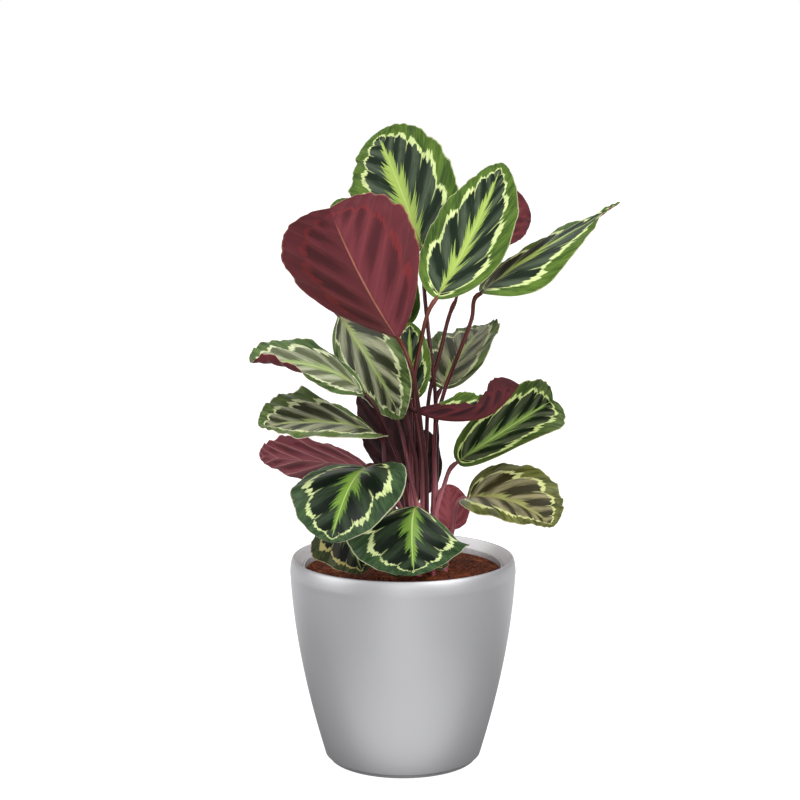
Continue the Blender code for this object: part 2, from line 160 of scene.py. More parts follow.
def shade_smooth(item: bpy.types.Object, degrees: float = 40.0) -> None:
    """Shade a piece smooth, with edges sharper than an angle kept crisp."""
    select_only(item)
    bpy.ops.object.shade_smooth_by_angle(angle=math.radians(degrees))


def coordinates(item: bpy.types.Object) -> np.ndarray:
    """The places of a mesh's vertices, one row each.

    Args:
        item: The piece.

    Returns:
        The places.
    """
    flat = np.empty(3 * len(item.data.vertices))
    item.data.vertices.foreach_get("co", flat)
    return flat.reshape(-1, 3)


def set_coordinates(item: bpy.types.Object, places: np.ndarray) -> None:
    """Move a mesh's vertices to new places, one row each."""
    item.data.vertices.foreach_set("co", np.ascontiguousarray(places, float).ravel())
    item.data.update()


def named(name: str) -> bpy.types.Object:
    """Name the active object and its mesh.

    Args:
        name: The name.

    Returns:
        The object.
    """
    item = bpy.context.object
    item.name = name
    item.data.name = name
    return item


def add_grid(
    name: str, columns: int, rows: int, uv_name: str
) -> tuple[bpy.types.Object, np.ndarray]:
    """Add a flat grid that a formula then shapes.

    Args:
        name: The piece's name.
        columns: Faces across.
        rows: Faces along.
        uv_name: The name of its UV map.

    Returns:
        The grid, and for each vertex its place across and along, both from -1 to 1.
    """
    deselect_all()
    bpy.ops.mesh.primitive_grid_add(x_subdivisions=columns, y_subdivisions=rows, size=2.0)
    item = named(name)
    item.data.uv_layers[0].name = uv_name
    return item, coordinates(item)[:, :2]


def turn_outline(
    name: str, outline: Sequence[tuple[float, float]], steps: int
) -> bpy.types.Object:
    """Spin a closed outline round the Z axis.

    Args:
        name: The piece's name.
        outline: Radius and height of each point, in order round the wall's section.
        steps: Sides of the turned piece.

    Returns:
        The turned piece, with its faces outwards.
    """
    deselect_all()
    bpy.ops.mesh.primitive_circle_add(vertices=len(outline), radius=0.01)
    item = named(name)
    set_coordinates(item, np.array([(radius, 0.0, height) for radius, height in outline]))
    bpy.ops.object.mode_set(mode="EDIT")
    bpy.ops.mesh.select_all(action="SELECT")
    bpy.ops.mesh.spin(steps=steps, angle=2 * math.pi, center=(0, 0, 0), axis=(0, 0, 1))
    bpy.ops.object.mode_set(mode="OBJECT")
    merge_and_turn_out(item)
    return item


def smooth_path(ways: Sequence[Vector], step_length: float) -> list[Vector]:
    """Read a smooth curve through points about every step_length.

    Args:
        ways: The points that the curve goes through.
        step_length: The distance between two read points.

    Returns:
        The read points, with the first and the last way among them.
    """
    spans = [(end - start).length for start, end in zip(ways, ways[1:])]
    units = [(end - start).normalized() for start, end in zip(ways, ways[1:])]
    turns = [units[0]]
    for i in range(1, len(units)):
        turns.append((units[i - 1] * spans[i] + units[i] * spans[i - 1]).normalized())
    turns.append(units[-1])
    path = []
    for i, span in enumerate(spans):
        steps = max(1, round(span / step_length))
        for step in range(steps):
            t = step / steps
            path.append(
                ways[i] * (2 * t**3 - 3 * t**2 + 1)
                + turns[i] * span * (t**3 - 2 * t**2 + t)
                + ways[i + 1] * (3 * t**2 - 2 * t**3)
                + turns[i + 1] * span * (t**3 - t**2)
            )
    path.append(ways[-1].copy())
    return path


def path_lengths(path: Sequence[Vector]) -> list[float]:
    """The length of a path up to each of its points.

    Args:
        path: The path's points.

    Returns:
        One length for each point, the first 0.
    """
    lengths = [0.0]
    for start, end in zip(path, path[1:]):
        lengths.append(lengths[-1] + (end - start).length)
    return lengths


def wrap_tube(
    name: str, path: Sequence[Vector], sides: int, reach: Callable[[float, float], float]
) -> bpy.types.Object:
    """Wrap a grid round a path, closed at both ends.

    Args:
        name: The piece's name.
        path: The centre line.
        sides: Faces round the tube.
        reach: The radius at a share of the path's length and an angle.

    Returns:
        The tube, with a UV map named "wrap": round the tube, then along it.
    """
    lengths = path_lengths(path)
    last = len(path) - 1
    tangents = [
        (path[min(i + 1, last)] - path[max(i - 1, 0)]).normalized() for i in range(len(path))
    ]
    across = tangents[0].orthogonal().normalized()
    frames = []
    for tangent in tangents:
        across = (across - tangent * across.dot(tangent)).normalized()
        frames.append((across.copy(), tangent.cross(across)))
    stations = [0, *range(len(path)), last]
    item, flat = add_grid(name, sides, len(stations) - 1, "wrap")
    places = np.empty((len(flat), 3))
    for i, (x, y) in enumerate(flat):
        row = round((y + 1) / 2 * (len(stations) - 1))
        angle = math.pi * (x + 1)
        station = stations[row]
        side, up = frames[station]
        radius = 0.0
        if 0 < row < len(stations) - 1:
            radius = reach(lengths[station] / lengths[-1], angle)
        places[i] = path[station] + (side * math.cos(angle) + up * math.sin(angle)) * radius
    set_coordinates(item, places)
    merge_and_turn_out(item, 0.000002)
    return item


def finish_piece(item: bpy.types.Object, slot: str, *nodes: str) -> None:
    """Let a finished piece ride on the plant and stand for its solids.

    Args:
        item: The piece.
        slot: The record's material slot; not used.
        nodes: The solids that it stands for.
    """
    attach(item, BODY)
    if nodes:
        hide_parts(*nodes)
    LOG.info("%s: %d faces", item.name, len(item.data.polygons))


def mark(item: bpy.types.Object, name: str, value: float | np.ndarray) -> None:
    """Write a number onto each vertex, for a material to read.

    Args:
        item: The piece.
        name: The attribute's name.
        value: One number for all vertices, or one for each.
    """
    numbers = np.full(len(item.data.vertices), value, float) if np.isscalar(value) else value
    layer = item.data.attributes.new(name, "FLOAT", "POINT")
    layer.data.foreach_set("value", np.ascontiguousarray(numbers, dtype=np.float32))


class Value:
    """An output in a node tree. Arithmetic on it adds Math nodes."""

    def __init__(self, graph: Graph, socket: bpy.types.NodeSocket) -> None:
        """Hold one output of a graph."""
        self.graph = graph
        self.socket = socket

    def __add__(self, other: float | Value) -> Value:
        """The sum."""
        return self.graph.math("ADD", self, other)

    def __sub__(self, other: float | Value) -> Value:
        """The difference."""
        return self.graph.math("SUBTRACT", self, other)

    def __rsub__(self, other: float) -> Value:
        """A number less this output."""
        return self.graph.math("SUBTRACT", other, self)

    def __mul__(self, other: float | Value) -> Value:
        """The product."""
        return self.graph.math("MULTIPLY", self, other)

    def __rtruediv__(self, other: float) -> Value:
        """A number over this output."""
        return self.graph.math("DIVIDE", other, self)

    def __pow__(self, other: float | Value) -> Value:
        """The power."""
        return self.graph.math("POWER", self, other)


class Graph:
    """Adds nodes to a node tree, one call for each step of a pattern."""

    def __init__(self, tree: bpy.types.NodeTree) -> None:
        """Work on one node tree."""
        self.tree = tree

    def node(self, kind: str, **settings: object) -> bpy.types.Node:
        """Add a node and set its properties.

        Args:
            kind: The node's type.
            **settings: Its properties by name.

        Returns:
            The node.
        """
        node = self.tree.nodes.new(kind)
        for name, value in settings.items():
            setattr(node, name, value)
        return node

    def value(self, node: bpy.types.Node, output: int | str = 0) -> Value:
        """One of a node's outputs."""
        return Value(self, node.outputs[output])

    def feed(self, socket: bpy.types.NodeSocket, value: object) -> None:
        """Link an output to a socket, or set the socket's constant.

        Args:
            socket: The input that is fed.
            value: An output, a number or a colour.
        """
        if isinstance(value, Value):
            self.tree.links.new(value.socket, socket)
        else:
            socket.default_value = value

    def math(self, operation: str, *values: float | Value) -> Value:
        """One step of arithmetic, by the Math node's name for it.

        Args:
            operation: The Math node's operation.
            *values: Its inputs, in order.

        Returns:
            The result.
        """
        node = self.node("ShaderNodeMath", operation=operation)
        for socket, value in zip(node.inputs, values):
            self.feed(socket, value)
        return self.value(node)

    def rise(self, value: Value, low: float | Value, high: float | Value) -> Value:
        """A smooth step from 0 at low to 1 at high.

        Args:
            value: The value that is read.
            low: Where the step starts.
            high: Where it ends, which may lie below low for a step down.

        Returns:
            The step.
        """
        node = self.node("ShaderNodeMapRange", interpolation_type="SMOOTHSTEP")
        for name, number in (("Value", value), ("From Min", low), ("From Max", high)):
            self.feed(node.inputs[name], number)
        return self.value(node, "Result")

    def spread(self, value: Value, low: float, high: float) -> Value:
        """Stretch a value from 0 to 1 over low to high."""
        return self.math("MULTIPLY_ADD", value, high - low, low)

    def vector(self, x: float | Value, y: float | Value, z: float | Value) -> Value:
        """Join three values in a vector.

        Args:
            x: The first value.
            y: The second value.
            z: The third value.

        Returns:
            The vector.
        """
        node = self.node("ShaderNodeCombineXYZ")
        for socket, value in zip(node.inputs, (x, y, z)):
            self.feed(socket, value)
        return self.value(node)

    def split(self, place: Value) -> tuple[Value, Value, Value]:
        """The three values of a vector.

        Args:
            place: The vector.

        Returns:
            Its values.
        """
        node = self.node("ShaderNodeSeparateXYZ")
        self.feed(node.inputs[0], place)
        return self.value(node, 0), self.value(node, 1), self.value(node, 2)

    def noise(
        self, place: Value, scale: float = 1.0, detail: float = 2.0, roughness: float = 0.5
    ) -> Value:
        """Smooth noise around one half.

        Args:
            place: Where the noise is read.
            scale: How many waves there are to a unit.
            detail: How many finer layers it has.
            roughness: How strong the finer layers are.

        Returns:
            The noise.
        """
        node = self.node("ShaderNodeTexNoise")
        self.feed(node.inputs["Vector"], place)
        for name, number in (("Scale", scale), ("Detail", detail), ("Roughness", roughness)):
            node.inputs[name].default_value = number
        return self.value(node, "Fac")

    def cells(self, place: Value, scale: float) -> Value:
        """Grains, as the distance to the middle of the nearest one.

        Args:
            place: Where the grains are read.
            scale: How many there are to a unit.

        Returns:
            The distance.
        """
        node = self.node("ShaderNodeTexVoronoi")
        self.feed(node.inputs["Vector"], place)
        node.inputs["Scale"].default_value = scale
        return self.value(node, "Distance")

    def mix(self, share: Value, first: object, second: object) -> Value:
        """Blend two colours.

        Args:
            share: The second colour's share.
            first: The first colour.
            second: The second colour.

        Returns:
            The blend.
        """
        node = self.node("ShaderNodeMix", data_type="RGBA")
        for place, value in ((0, share), (6, first), (7, second)):
            self.feed(node.inputs[place], value)
        return self.value(node, 2)

    def place(self) -> Value:
        """The point on the piece, in metres."""
        return self.value(self.node("ShaderNodeTexCoord"), "Object")

    def uv(self, name: str) -> tuple[Value, Value]:
        """The two coordinates of one of the piece's UV maps."""
        return self.split(self.value(self.node("ShaderNodeUVMap", uv_map=name)))[:2]

    def marked(self, name: str) -> Value:
        """A number written on the piece's vertices."""
        return self.value(self.node("ShaderNodeAttribute", attribute_name=name), "Fac")

    def parts(self, group: bpy.types.NodeTree) -> dict[str, Value]:
        """The outputs of a shared node group, by name."""
        node = self.node("ShaderNodeGroup", node_tree=group)
        return {output.name: Value(self, output) for output in node.outputs}


class Surface(Graph):
    """A material under construction, on Blender's main shader."""

    def __init__(
        self, name: str, roughness: float, metallic: float = 0.0, specular: float = 0.5
    ) -> None:
        """Start a material.

        Args:
            name: The material's name.
            roughness: How dull it is, where no pattern drives it.
            metallic: How metallic it is.
            specular: How strong its gloss is.
        """
        self.material = bpy.data.materials.new(name)
        self.material.use_nodes = True
        super().__init__(self.material.node_tree)
        self.shader = self.tree.nodes["Principled BSDF"]
        self.shader.inputs["Roughness"].default_value = roughness
        self.shader.inputs["Metallic"].default_value = metallic
        self.shader.inputs["Specular IOR Level"].default_value = specular

    def colour(self, value: Value) -> None:
        """Give the shader its colour."""
        self.feed(self.shader.inputs["Base Color"], value)

    def roughness(self, value: Value) -> None:
        """Give the shader its roughness."""
        self.feed(self.shader.inputs["Roughness"], value)

    def bump(self, height: Value, depth: float, strength: float = 1.0) -> None:
        """Raise the surface by a pattern.

        Args:
            height: The pattern, from 0 to 1.
            depth: The height of a full step, in metres.
            strength: How much of it shows.
        """
        node = self.node("ShaderNodeBump")
        node.inputs["Strength"].default_value = strength
        node.inputs["Distance"].default_value = depth
        self.feed(node.inputs["Height"], height)
        self.feed(self.shader.inputs["Normal"], self.value(node))


@dataclass(frozen=True)
class BladeColours:
    """The colours of one tone of blade, above and beneath."""

    dark: tuple = srgb(16, 30, 16)
    # The paler stripes between the side veins: partly the leaf's own green and partly painted sheen
    # on the pleat ridges.
    band_and_sheen: tuple = srgb(70, 82, 64)
    margin: tuple = srgb(86, 112, 42)
    margin_deep: tuple = srgb(48, 70, 26)
    ring: tuple = srgb(194, 207, 143)
    feather: tuple = srgb(150, 172, 82)
    feather_edge: tuple = srgb(106, 132, 66)
    rib: tuple = srgb(170, 186, 112)
    rib_foot: tuple = srgb(128, 88, 62)
    edge: tuple = srgb(150, 158, 114)
    under: tuple = srgb(110, 49, 56)
    under_dark: tuple = srgb(76, 33, 38)
    under_ring: tuple = srgb(126, 45, 46)
    under_rib: tuple = srgb(158, 102, 84)
    ring_beneath: float = 0.55
    veins_beneath: float = 0.06
    roughness: float = 0.36


class BladeTone(Enum):
    """The tones that the leaves come in: newer and sunlit, old and deep, glossy or fading.

    The paler stripes of every tone are partly painted sheen, GREY's most of all. SHADED paints
    shade into the colours of the leaves that lie in shade at the back and low by the rim, and ROSY
    paints light into the underside of one leaf that faces away from the lamps.
    """

    FRESH = BladeColours()
    DEEP = BladeColours(
        dark=srgb(8, 19, 9), band_and_sheen=srgb(46, 60, 42), margin=srgb(60, 84, 49),
        margin_deep=srgb(32, 50, 31), ring=srgb(192, 204, 144), feather=srgb(106, 138, 54),
        feather_edge=srgb(72, 102, 44), rib=srgb(166, 182, 110), edge=srgb(158, 162, 132),
        roughness=0.32,
    )
    DUSKY = BladeColours(
        dark=srgb(14, 24, 11), band_and_sheen=srgb(72, 80, 58), margin=srgb(78, 96, 42),
        margin_deep=srgb(38, 54, 22), ring=srgb(186, 200, 128), feather=srgb(114, 138, 72),
        feather_edge=srgb(84, 104, 54),
    )
    # GREY: its pale grey stripes are painted sheen on the pleats, over a greyer green.
    GREY = BladeColours(
        dark=srgb(46, 50, 32), band_and_sheen=srgb(146, 148, 118), margin=srgb(96, 114, 64),
        margin_deep=srgb(50, 66, 34), ring=srgb(196, 202, 156), feather=srgb(138, 152, 92),
        feather_edge=srgb(112, 122, 82), rib=srgb(170, 178, 134), edge=srgb(192, 190, 166),
        roughness=0.30,
    )
    PALE = BladeColours(
        dark=srgb(82, 88, 62), band_and_sheen=srgb(164, 168, 142), margin=srgb(86, 108, 60),
        margin_deep=srgb(44, 62, 34), ring=srgb(204, 208, 170), feather=srgb(140, 158, 98),
        feather_edge=srgb(124, 138, 96), rib=srgb(176, 184, 144), edge=srgb(192, 190, 166),
        roughness=0.30,
    )
    OLIVE = BladeColours(
        dark=srgb(42, 38, 18), band_and_sheen=srgb(134, 128, 94), margin=srgb(98, 102, 50),
        margin_deep=srgb(46, 50, 18), ring=srgb(186, 190, 128), feather=srgb(132, 136, 78),
        feather_edge=srgb(100, 100, 58), rib=srgb(140, 132, 92), edge=srgb(168, 164, 128),
        roughness=0.34,
    )
    # SHADED: painted shade, the darkened colours of leaves that lie in shade at the back and low by
    # the rim.
    SHADED = BladeColours(
        dark=srgb(10, 12, 8), band_and_sheen=srgb(36, 38, 24), margin=srgb(60, 68, 36),
        margin_deep=srgb(28, 34, 16), ring=srgb(166, 156, 96), feather=srgb(94, 112, 52),
        feather_edge=srgb(60, 78, 36), edge=srgb(150, 140, 108), under=srgb(50, 20, 23),
        under_dark=srgb(26, 10, 12), under_ring=srgb(62, 22, 25), under_rib=srgb(88, 44, 40),
        ring_beneath=0.2, roughness=0.42,
    )
    CURLED = BladeColours(
        under=srgb(84, 34, 38), under_dark=srgb(44, 16, 22), under_ring=srgb(96, 30, 34),
        under_rib=srgb(120, 62, 54),
    )
    STRIPED = BladeColours(
        under=srgb(154, 86, 94), under_dark=srgb(106, 52, 60), under_rib=srgb(196, 134, 132),
        ring_beneath=0.15, veins_beneath=0.8,
    )
    # ROSY: an underside painted paler than its own colour, painted light on a leaf that faces away
    # from the lamps.
    ROSY = BladeColours(
        under=srgb(188, 102, 108), under_dark=srgb(156, 80, 88), under_rib=srgb(180, 100, 102),
        ring_beneath=0.1,
    )


@dataclass(frozen=True)
class BladePlace:
    """Where a point of a blade lies, as the pattern reads it.

    across runs from the midrib, 0, to the margin, 1, and row from the base, 0, to the tip, 1.
    line is the side vein's place, the same all along a vein, and turn counts the side veins
    passed. half differs from leaf to leaf and half to half, for the chance in the pattern.
    """

    across: Value
    row: Value
    line: Value
    turn: Value
    half: Value
    veins: Value

    @classmethod
    def read(cls, g: Graph) -> BladePlace:
        """Read the place from a blade's UV map and the numbers on its vertices.

        Args:
            g: The graph that reads it.

        Returns:
            The place.
        """
        side, row = g.uv("vein_lines")
        side = g.spread(side, -1.0, 1.0)
        across, veins = g.math("ABSOLUTE", side), g.marked("side_veins")
        half = g.math("MULTIPLY_ADD", g.math("SIGN", side), 7.7, g.marked("leaf_seed"))
        line = row - row * (1.0 - row) * (4 * VEIN_LEAD) * across**VEIN_CURVE
        return cls(across, row, line, line * veins, half, veins)


@dataclass(frozen=True)
class MedallionPattern:
    """The ring, the feather along the midrib and the side bands of a medallion leaf, the side bands
    partly painted sheen on the pleat ridges.

    Reaches and widths are shares of the way from the midrib, 0, to the margin, 1.
    """

    ring_at: float = 0.66
    ring_bow: float = 0.115
    ring_pinch: float = 0.014
    ring_belly: float = 0.038
    ring_teeth: float = 0.20
    ring_fringe: float = 0.12
    ring_wander: float = 0.20
    spur_reach: float = 0.20
    spur_thinness: float = 14.0
    feather_core: float = 0.168
    feather_barb: float = 0.20
    feather_lead: float = 0.32
    feather_barbs: float = 32.0
    band_lean: float = 1.2
    vein_thinness: float = 40.0
    rib_reach: float = 0.016
    edge_reach: float = 0.036

    def group(self) -> bpy.types.NodeTree:
        """Build the pattern once, as a node group that every blade's materials share.

        Returns:
            The group, with an output for each part of the pattern.
        """
        tree = bpy.data.node_groups.new("medallion_pattern", "ShaderNodeTree")
        g = Graph(tree)
        at = BladePlace.read(g)
        parts = {**self.ring(g, at), **self.feather(g, at), **self.streaks(g, at)}
        out = g.node("NodeGroupOutput")
        for name, value in parts.items():
            tree.interface.new_socket(name=name, in_out="OUTPUT", socket_type="NodeSocketFloat")
            g.feed(out.inputs[name], value)
        return tree

    def ring(self, g: Graph, at: BladePlace) -> dict[str, Value]:
        """The pale scalloped ring, fringed along the veins.

        Args:
            g: The group's graph.
            at: The place on the blade.

        Returns:
            The ring, and what lies outside it.
        """
        phase = g.math("FRACT", at.turn + 0.5)
        bulge = phase * (1.0 - phase) * 4.0
        belly = bulge**0.6
        ends = g.math("ABSOLUTE", g.spread(at.row, -1.0, 1.0))
        near_tip = g.rise(at.row, 0.40, 0.80)
        oval = g.spread(near_tip, 2.4, 1.25)
        level = (at.across**oval + ends ** g.spread(near_tip, 8.0, 3.4)) ** (1.0 / oval)
        wander = g.noise(g.vector(at.row * 5.0, 0.0, at.half), 1.0, 1.0) - 0.5
        centre = belly * self.ring_bow + (self.ring_at - 0.6 * self.ring_bow)
        off = level - (wander * self.ring_wander + centre)
        width = belly * self.ring_belly + self.ring_pinch
        edges = []
        for shift, side in ((0.0, width + off), (31.0, width - off)):
            place = g.vector(at.line * 44.0, at.across * 1.2, at.half + shift)
            teeth = g.noise(place, 1.0, 1.0) - 0.5
            fringe = g.noise(place, 3.4, 2.0, 0.6) - 0.5
            ragged = teeth * self.ring_teeth + fringe * self.ring_fringe
            edges.append(g.rise(side + ragged, -0.010, 0.014))
        spur = (1.0 - bulge) ** self.spur_thinness * g.rise(off, 0.03, 0.0)
        spur = spur * g.rise(off, -self.spur_reach, -0.4 * self.spur_reach)
        ring = g.math("MAXIMUM", edges[0] * edges[1], spur)
        return {"ring": ring, "outside": g.rise(off, -0.03, 0.05)}

    def feather(self, g: Graph, at: BladePlace) -> dict[str, Value]:
        """The bright feather along the midrib, its barbs swept towards the tip.

        Args:
            g: The group's graph.
            at: The place on the blade.

        Returns:
            The feather and its bright middle.
        """
        swept = at.row - at.across * self.feather_lead
        wobble = g.noise(g.vector(swept * 9.0, 8.0, at.half), 1.0, 1.0)
        barb = swept * self.feather_barbs + (wobble * 2.4 + at.half)
        chance = g.node("ShaderNodeTexWhiteNoise", noise_dimensions="2D")
        g.feed(chance.inputs["Vector"], g.vector(g.math("FLOOR", barb), at.half, 0.0))
        length = g.spread(g.value(chance, "Value"), 0.40, 1.0)
        tuft = g.math("FRACT", swept * at.veins + (wobble * 1.2 + at.half))
        tuft = g.spread(tuft**1.2, 0.35, 1.15)
        spike = g.math("FRACT", barb) ** 1.3 * length * tuft
        taper = g.spread(g.rise(at.row, 0.95, 0.50), 0.20, 1.0)
        taper = taper * g.spread(g.rise(at.row, 0.02, 0.42), 0.25, 1.0)
        reach = spike * self.feather_barb + tuft * self.feather_core
        reach = reach * taper * g.marked("feather_size")
        feather = g.rise(reach - at.across, -0.012, 0.016) * g.rise(at.row, 0.90, 0.80)
        return {"feather": feather, "feather_core": g.rise(at.across, reach * 0.9, reach * 0.2)}

    def streaks(self, g: Graph, at: BladePlace) -> dict[str, Value]:
        """The midrib, the side veins, the bands between them, partly painted sheen on the pleat
        ridges, and the streaks along them.

        Args:
            g: The group's graph.
            at: The place on the blade.

        Returns:
            Each of them, and the margin's thin edge.
        """
        full_turn = 2 * math.pi
        rib = g.rise(at.across, self.rib_reach, self.rib_reach * 0.4)
        swing = g.math("COSINE", at.turn * full_turn)
        lean = g.math("COSINE", at.turn * full_turn + self.band_lean)
        wide = g.vector(at.line * 22.0, at.across * 2.0, at.half)
        thin = g.vector(at.line * 110.0, at.across * 5.0, at.half)
        spots = g.vector(at.row * 6.0, at.across * 3.0, at.half)
        fray = g.noise(thin, 0.6, 1.0) * 0.03 + (1.0 - self.edge_reach)
        return {
            "rib": rib * g.rise(at.row, 0.97, 0.90),
            "foot": g.rise(at.row, 0.42, 0.05),
            "midway": g.rise(at.row, 0.92, 0.66),
            # Stripes between the side veins: the leaf's own paler green, and painted sheen where
            # the pleat ridges would catch light.
            "band_and_sheen": g.spread(lean, 0.5, 1.0),
            "lobe": g.spread(swing, 0.5, 1.0) * g.rise(at.across, 0.04, 0.42),
            "vein": g.spread(swing, 0.5, 0.0) ** self.vein_thinness,
            "broad": g.noise(wide, 1.0, 2.0, 0.6),
            "stroke": g.noise(thin, 1.0, 3.0, 0.65),
            "blotch": g.noise(spots, 1.0, 2.0),
            "edge": g.rise(at.across, fray, fray + 0.008),
        }


@dataclass(frozen=True)
class BladeFinish:
    """The three materials of a blade: its upper side, its underside and its cut edge."""

    tone: BladeTone
    pattern: bpy.types.NodeTree

    def materials(self) -> list[bpy.types.Material]:
        """The materials in the order of the blade's slots."""
        return [self.upper(), self.under(), self.edge()]

    def name(self, side: str) -> str:
        """A material's name."""
        return f"blade_{side}_{self.tone.name.lower()}"

    def upper(self) -> bpy.types.Material:
        """The patterned upper side, satin and finely streaked along its veins.

        Returns:
            The material.
        """
        look = self.tone.value
        s = Surface(self.name("upper"), look.roughness, specular=0.13)
        part = s.parts(self.pattern)
        stroke = part["stroke"]
        streak = stroke * 0.9 + part["broad"]
        # Painted sheen: the paler stripes between the side veins stand partly for light caught on
        # the pleat ridges, over the leaf's own green.
        inside = s.mix(s.rise(part["band_and_sheen"] * 0.70 + streak, 1.00, 1.85), look.dark, look.band_and_sheen)
        green = s.rise(part["blotch"] * 0.6 + streak, 0.95, 1.50)
        colour = s.mix(part["outside"], inside, s.mix(green, look.margin_deep, look.margin))
        feather = s.mix(s.rise(stroke, 0.35, 0.65), look.feather_edge, look.feather)
        feather = s.mix(part["feather_core"], feather, look.feather)
        colour = s.mix(part["feather"], colour, feather)
        pale = s.mix(s.rise(stroke, 0.55, 0.30) * 0.6, look.ring, look.feather)
        colour = s.mix(part["ring"], colour, pale)
        colour = s.mix(part["rib"], colour, s.mix(part["foot"], look.rib, look.rib_foot))
        s.colour(s.mix(part["edge"], colour, look.edge))
        s.roughness(stroke * 0.22 + (look.roughness - 0.08))
        s.bump(stroke * 0.5 - part["vein"] * 0.5, 0.0006, 0.8)
        return s.material

    def under(self) -> bpy.types.Material:
        """The wine-red underside, duller, with the ring showing through in red.

        Returns:
            The material.
        """
        look = self.tone.value
        s = Surface(self.name("under"), 0.55, specular=0.15)
        part = s.parts(self.pattern)
        stroke = part["stroke"]
        streak = stroke * 0.35 + part["broad"]
        inside = s.rise(streak - part["lobe"] * 0.65, 0.05, 0.85)
        inside = s.mix(inside, look.under_dark, look.under)
        outside = s.mix(part["blotch"], look.under, look.under_dark)
        colour = s.mix(part["outside"], inside, outside)
        colour = s.mix(part["vein"] * look.veins_beneath, colour, look.under_rib)
        shown = s.rise(part["foot"], 0.9, 0.1) * look.ring_beneath
        colour = s.mix(part["ring"] * shown, colour, look.under_ring)
        colour = s.mix(part["rib"] * part["midway"], colour, look.under_rib)
        s.colour(s.mix(part["edge"] * 0.6, colour, look.under_rib))
        s.roughness(stroke * 0.25 + 0.42)
        s.bump(stroke * 0.5 + part["vein"] * 0.6, 0.0006, 0.8)
        return s.material

    def edge(self) -> bpy.types.Material:
        """The thin pale edge between the two sides.

        Returns:
            The material.
        """
        s = Surface(self.name("edge"), 0.5)
        grain = s.noise(s.place(), 400.0)
        s.colour(s.mix(grain, self.tone.value.edge, self.tone.value.under_rib))
        return s.material


@dataclass(frozen=True)
class StalkFinish:
    """Smooth stalk skin: pink at the soil, dark wine red above, warmer at the top on some, with
    paler streaks along its fibres that are partly a per-stalk tone and partly painted highlight.
    """

    foot: tuple = srgb(208, 124, 134)
    middle: tuple = srgb(46, 16, 19)
    top: tuple = srgb(54, 20, 21)
    warm_top: tuple = srgb(100, 52, 38)
    lighter_tone_and_highlight: tuple = srgb(118, 54, 60)
    streak: tuple = srgb(28, 10, 14)
    roughness: float = 0.33
    pink_below: float = 0.430
    pinkest_below: float = 0.285

    def material(self) -> bpy.types.Material:
        """Build the stalk's material.

        Returns:
            The material.
        """
        s = Surface("stalk_skin", self.roughness, specular=0.18)
        around, along = s.uv("wrap")
        height = s.split(s.place())[2]
        seed = s.marked("stalk_seed")
        chance = s.math("FRACT", seed * 0.61)
        fibre = s.noise(s.vector(around * 14.0, along * 5.0, seed), 1.0, 3.0, 0.6)
        # Paler streaks along the fibres, stronger on some stalks: partly a per-stalk tone and
        # partly painted highlight.
        middle = s.mix(s.rise(fibre, 0.45, 0.62) * chance, self.middle, self.lighter_tone_and_highlight)
        top = s.mix(s.marked("warmth"), self.top, self.warm_top)
        colour = s.mix(s.rise(along, 0.66, 0.98), middle, top)
        foot = s.rise(fibre * 0.06 + height, self.pink_below, self.pinkest_below)
        colour = s.mix(foot * s.spread(chance, 0.12, 1.04), colour, self.foot)
        s.colour(s.mix(s.rise(fibre, 0.50, 0.30) * 0.7, colour, self.streak))
        s.roughness(fibre * 0.25 + (self.roughness - 0.08))
        s.bump(fibre, 0.0004, 0.6)
        return s.material


@dataclass(frozen=True)
class ShootFinish:
    """The rolled young leaf: pink, with greener lines where the roll overlaps."""

    skin: tuple = srgb(196, 118, 112)
    line: tuple = srgb(122, 104, 58)

    def material(self) -> bpy.types.Material:
        """Build the young leaf's material.

        Returns:
            The material.
        """
        s = Surface("new_shoot_skin", 0.42)
        around, along = s.uv("wrap")
        turn = s.math("FRACT", along * SHOOT_TURNS + around)
        lines = s.noise(s.vector(turn * 9.0, along * 3.0, 0.0), 1.0, 2.0)
        s.colour(s.mix(s.rise(lines, 0.45, 0.62), self.skin, self.line))
        s.bump(turn, 0.0005, 0.7)
        return s.material


@dataclass(frozen=True)
class LacquerFinish:
    """Satin silver-grey lacquer with a fine metal flake."""

    name: str = "planter_lacquer"
    base: tuple = srgb(158, 158, 160)
    flake: tuple = srgb(178, 178, 180)
    metallic: float = 0.55
    roughness: float = 0.46

    def material(self) -> bpy.types.Material:
        """Build the planter's material.

        Returns:
            The material.
        """
        s = Surface(self.name, self.roughness, self.metallic)
        flake = s.noise(s.place(), 1400.0, 2.0, 0.7)
        cloud = s.noise(s.place(), 9.0, 2.0)
        s.colour(s.mix(cloud * 0.35 + flake * 0.5, self.base, self.flake))
        s.roughness((flake + cloud) * 0.05 + (self.roughness - 0.05))
        s.bump(flake, 0.00005, 0.5)
        return s.material


# A paler, non-metallic copy of the lacquer for the rim's inner side: painted light on the wall that
# the rim shades.
RIM_INSIDE_PAINTED_LIGHT = LacquerFinish("planter_rim_inside_painted_light", srgb(222, 222, 223), srgb(222, 222, 223), 0.0)


@dataclass(frozen=True)
class LinerFinish:
    """Plain moulded plastic of the growing pot, a little dusty."""

    base: tuple = srgb(196, 196, 198)
    dust: tuple = srgb(160, 156, 152)

    def material(self) -> bpy.types.Material:
        """Build the liner's material.

        Returns:
            The material.
        """
        s = Surface("liner_plastic", 0.65)
        grain = s.noise(s.place(), 60.0, 4.0, 0.6)
        s.colour(s.mix(s.rise(grain, 0.4, 0.75), self.base, self.dust))
        s.roughness(grain * 0.2 + 0.55)
        s.bump(s.noise(s.place(), 900.0, 2.0), 0.0001, 0.4)
        return s.material


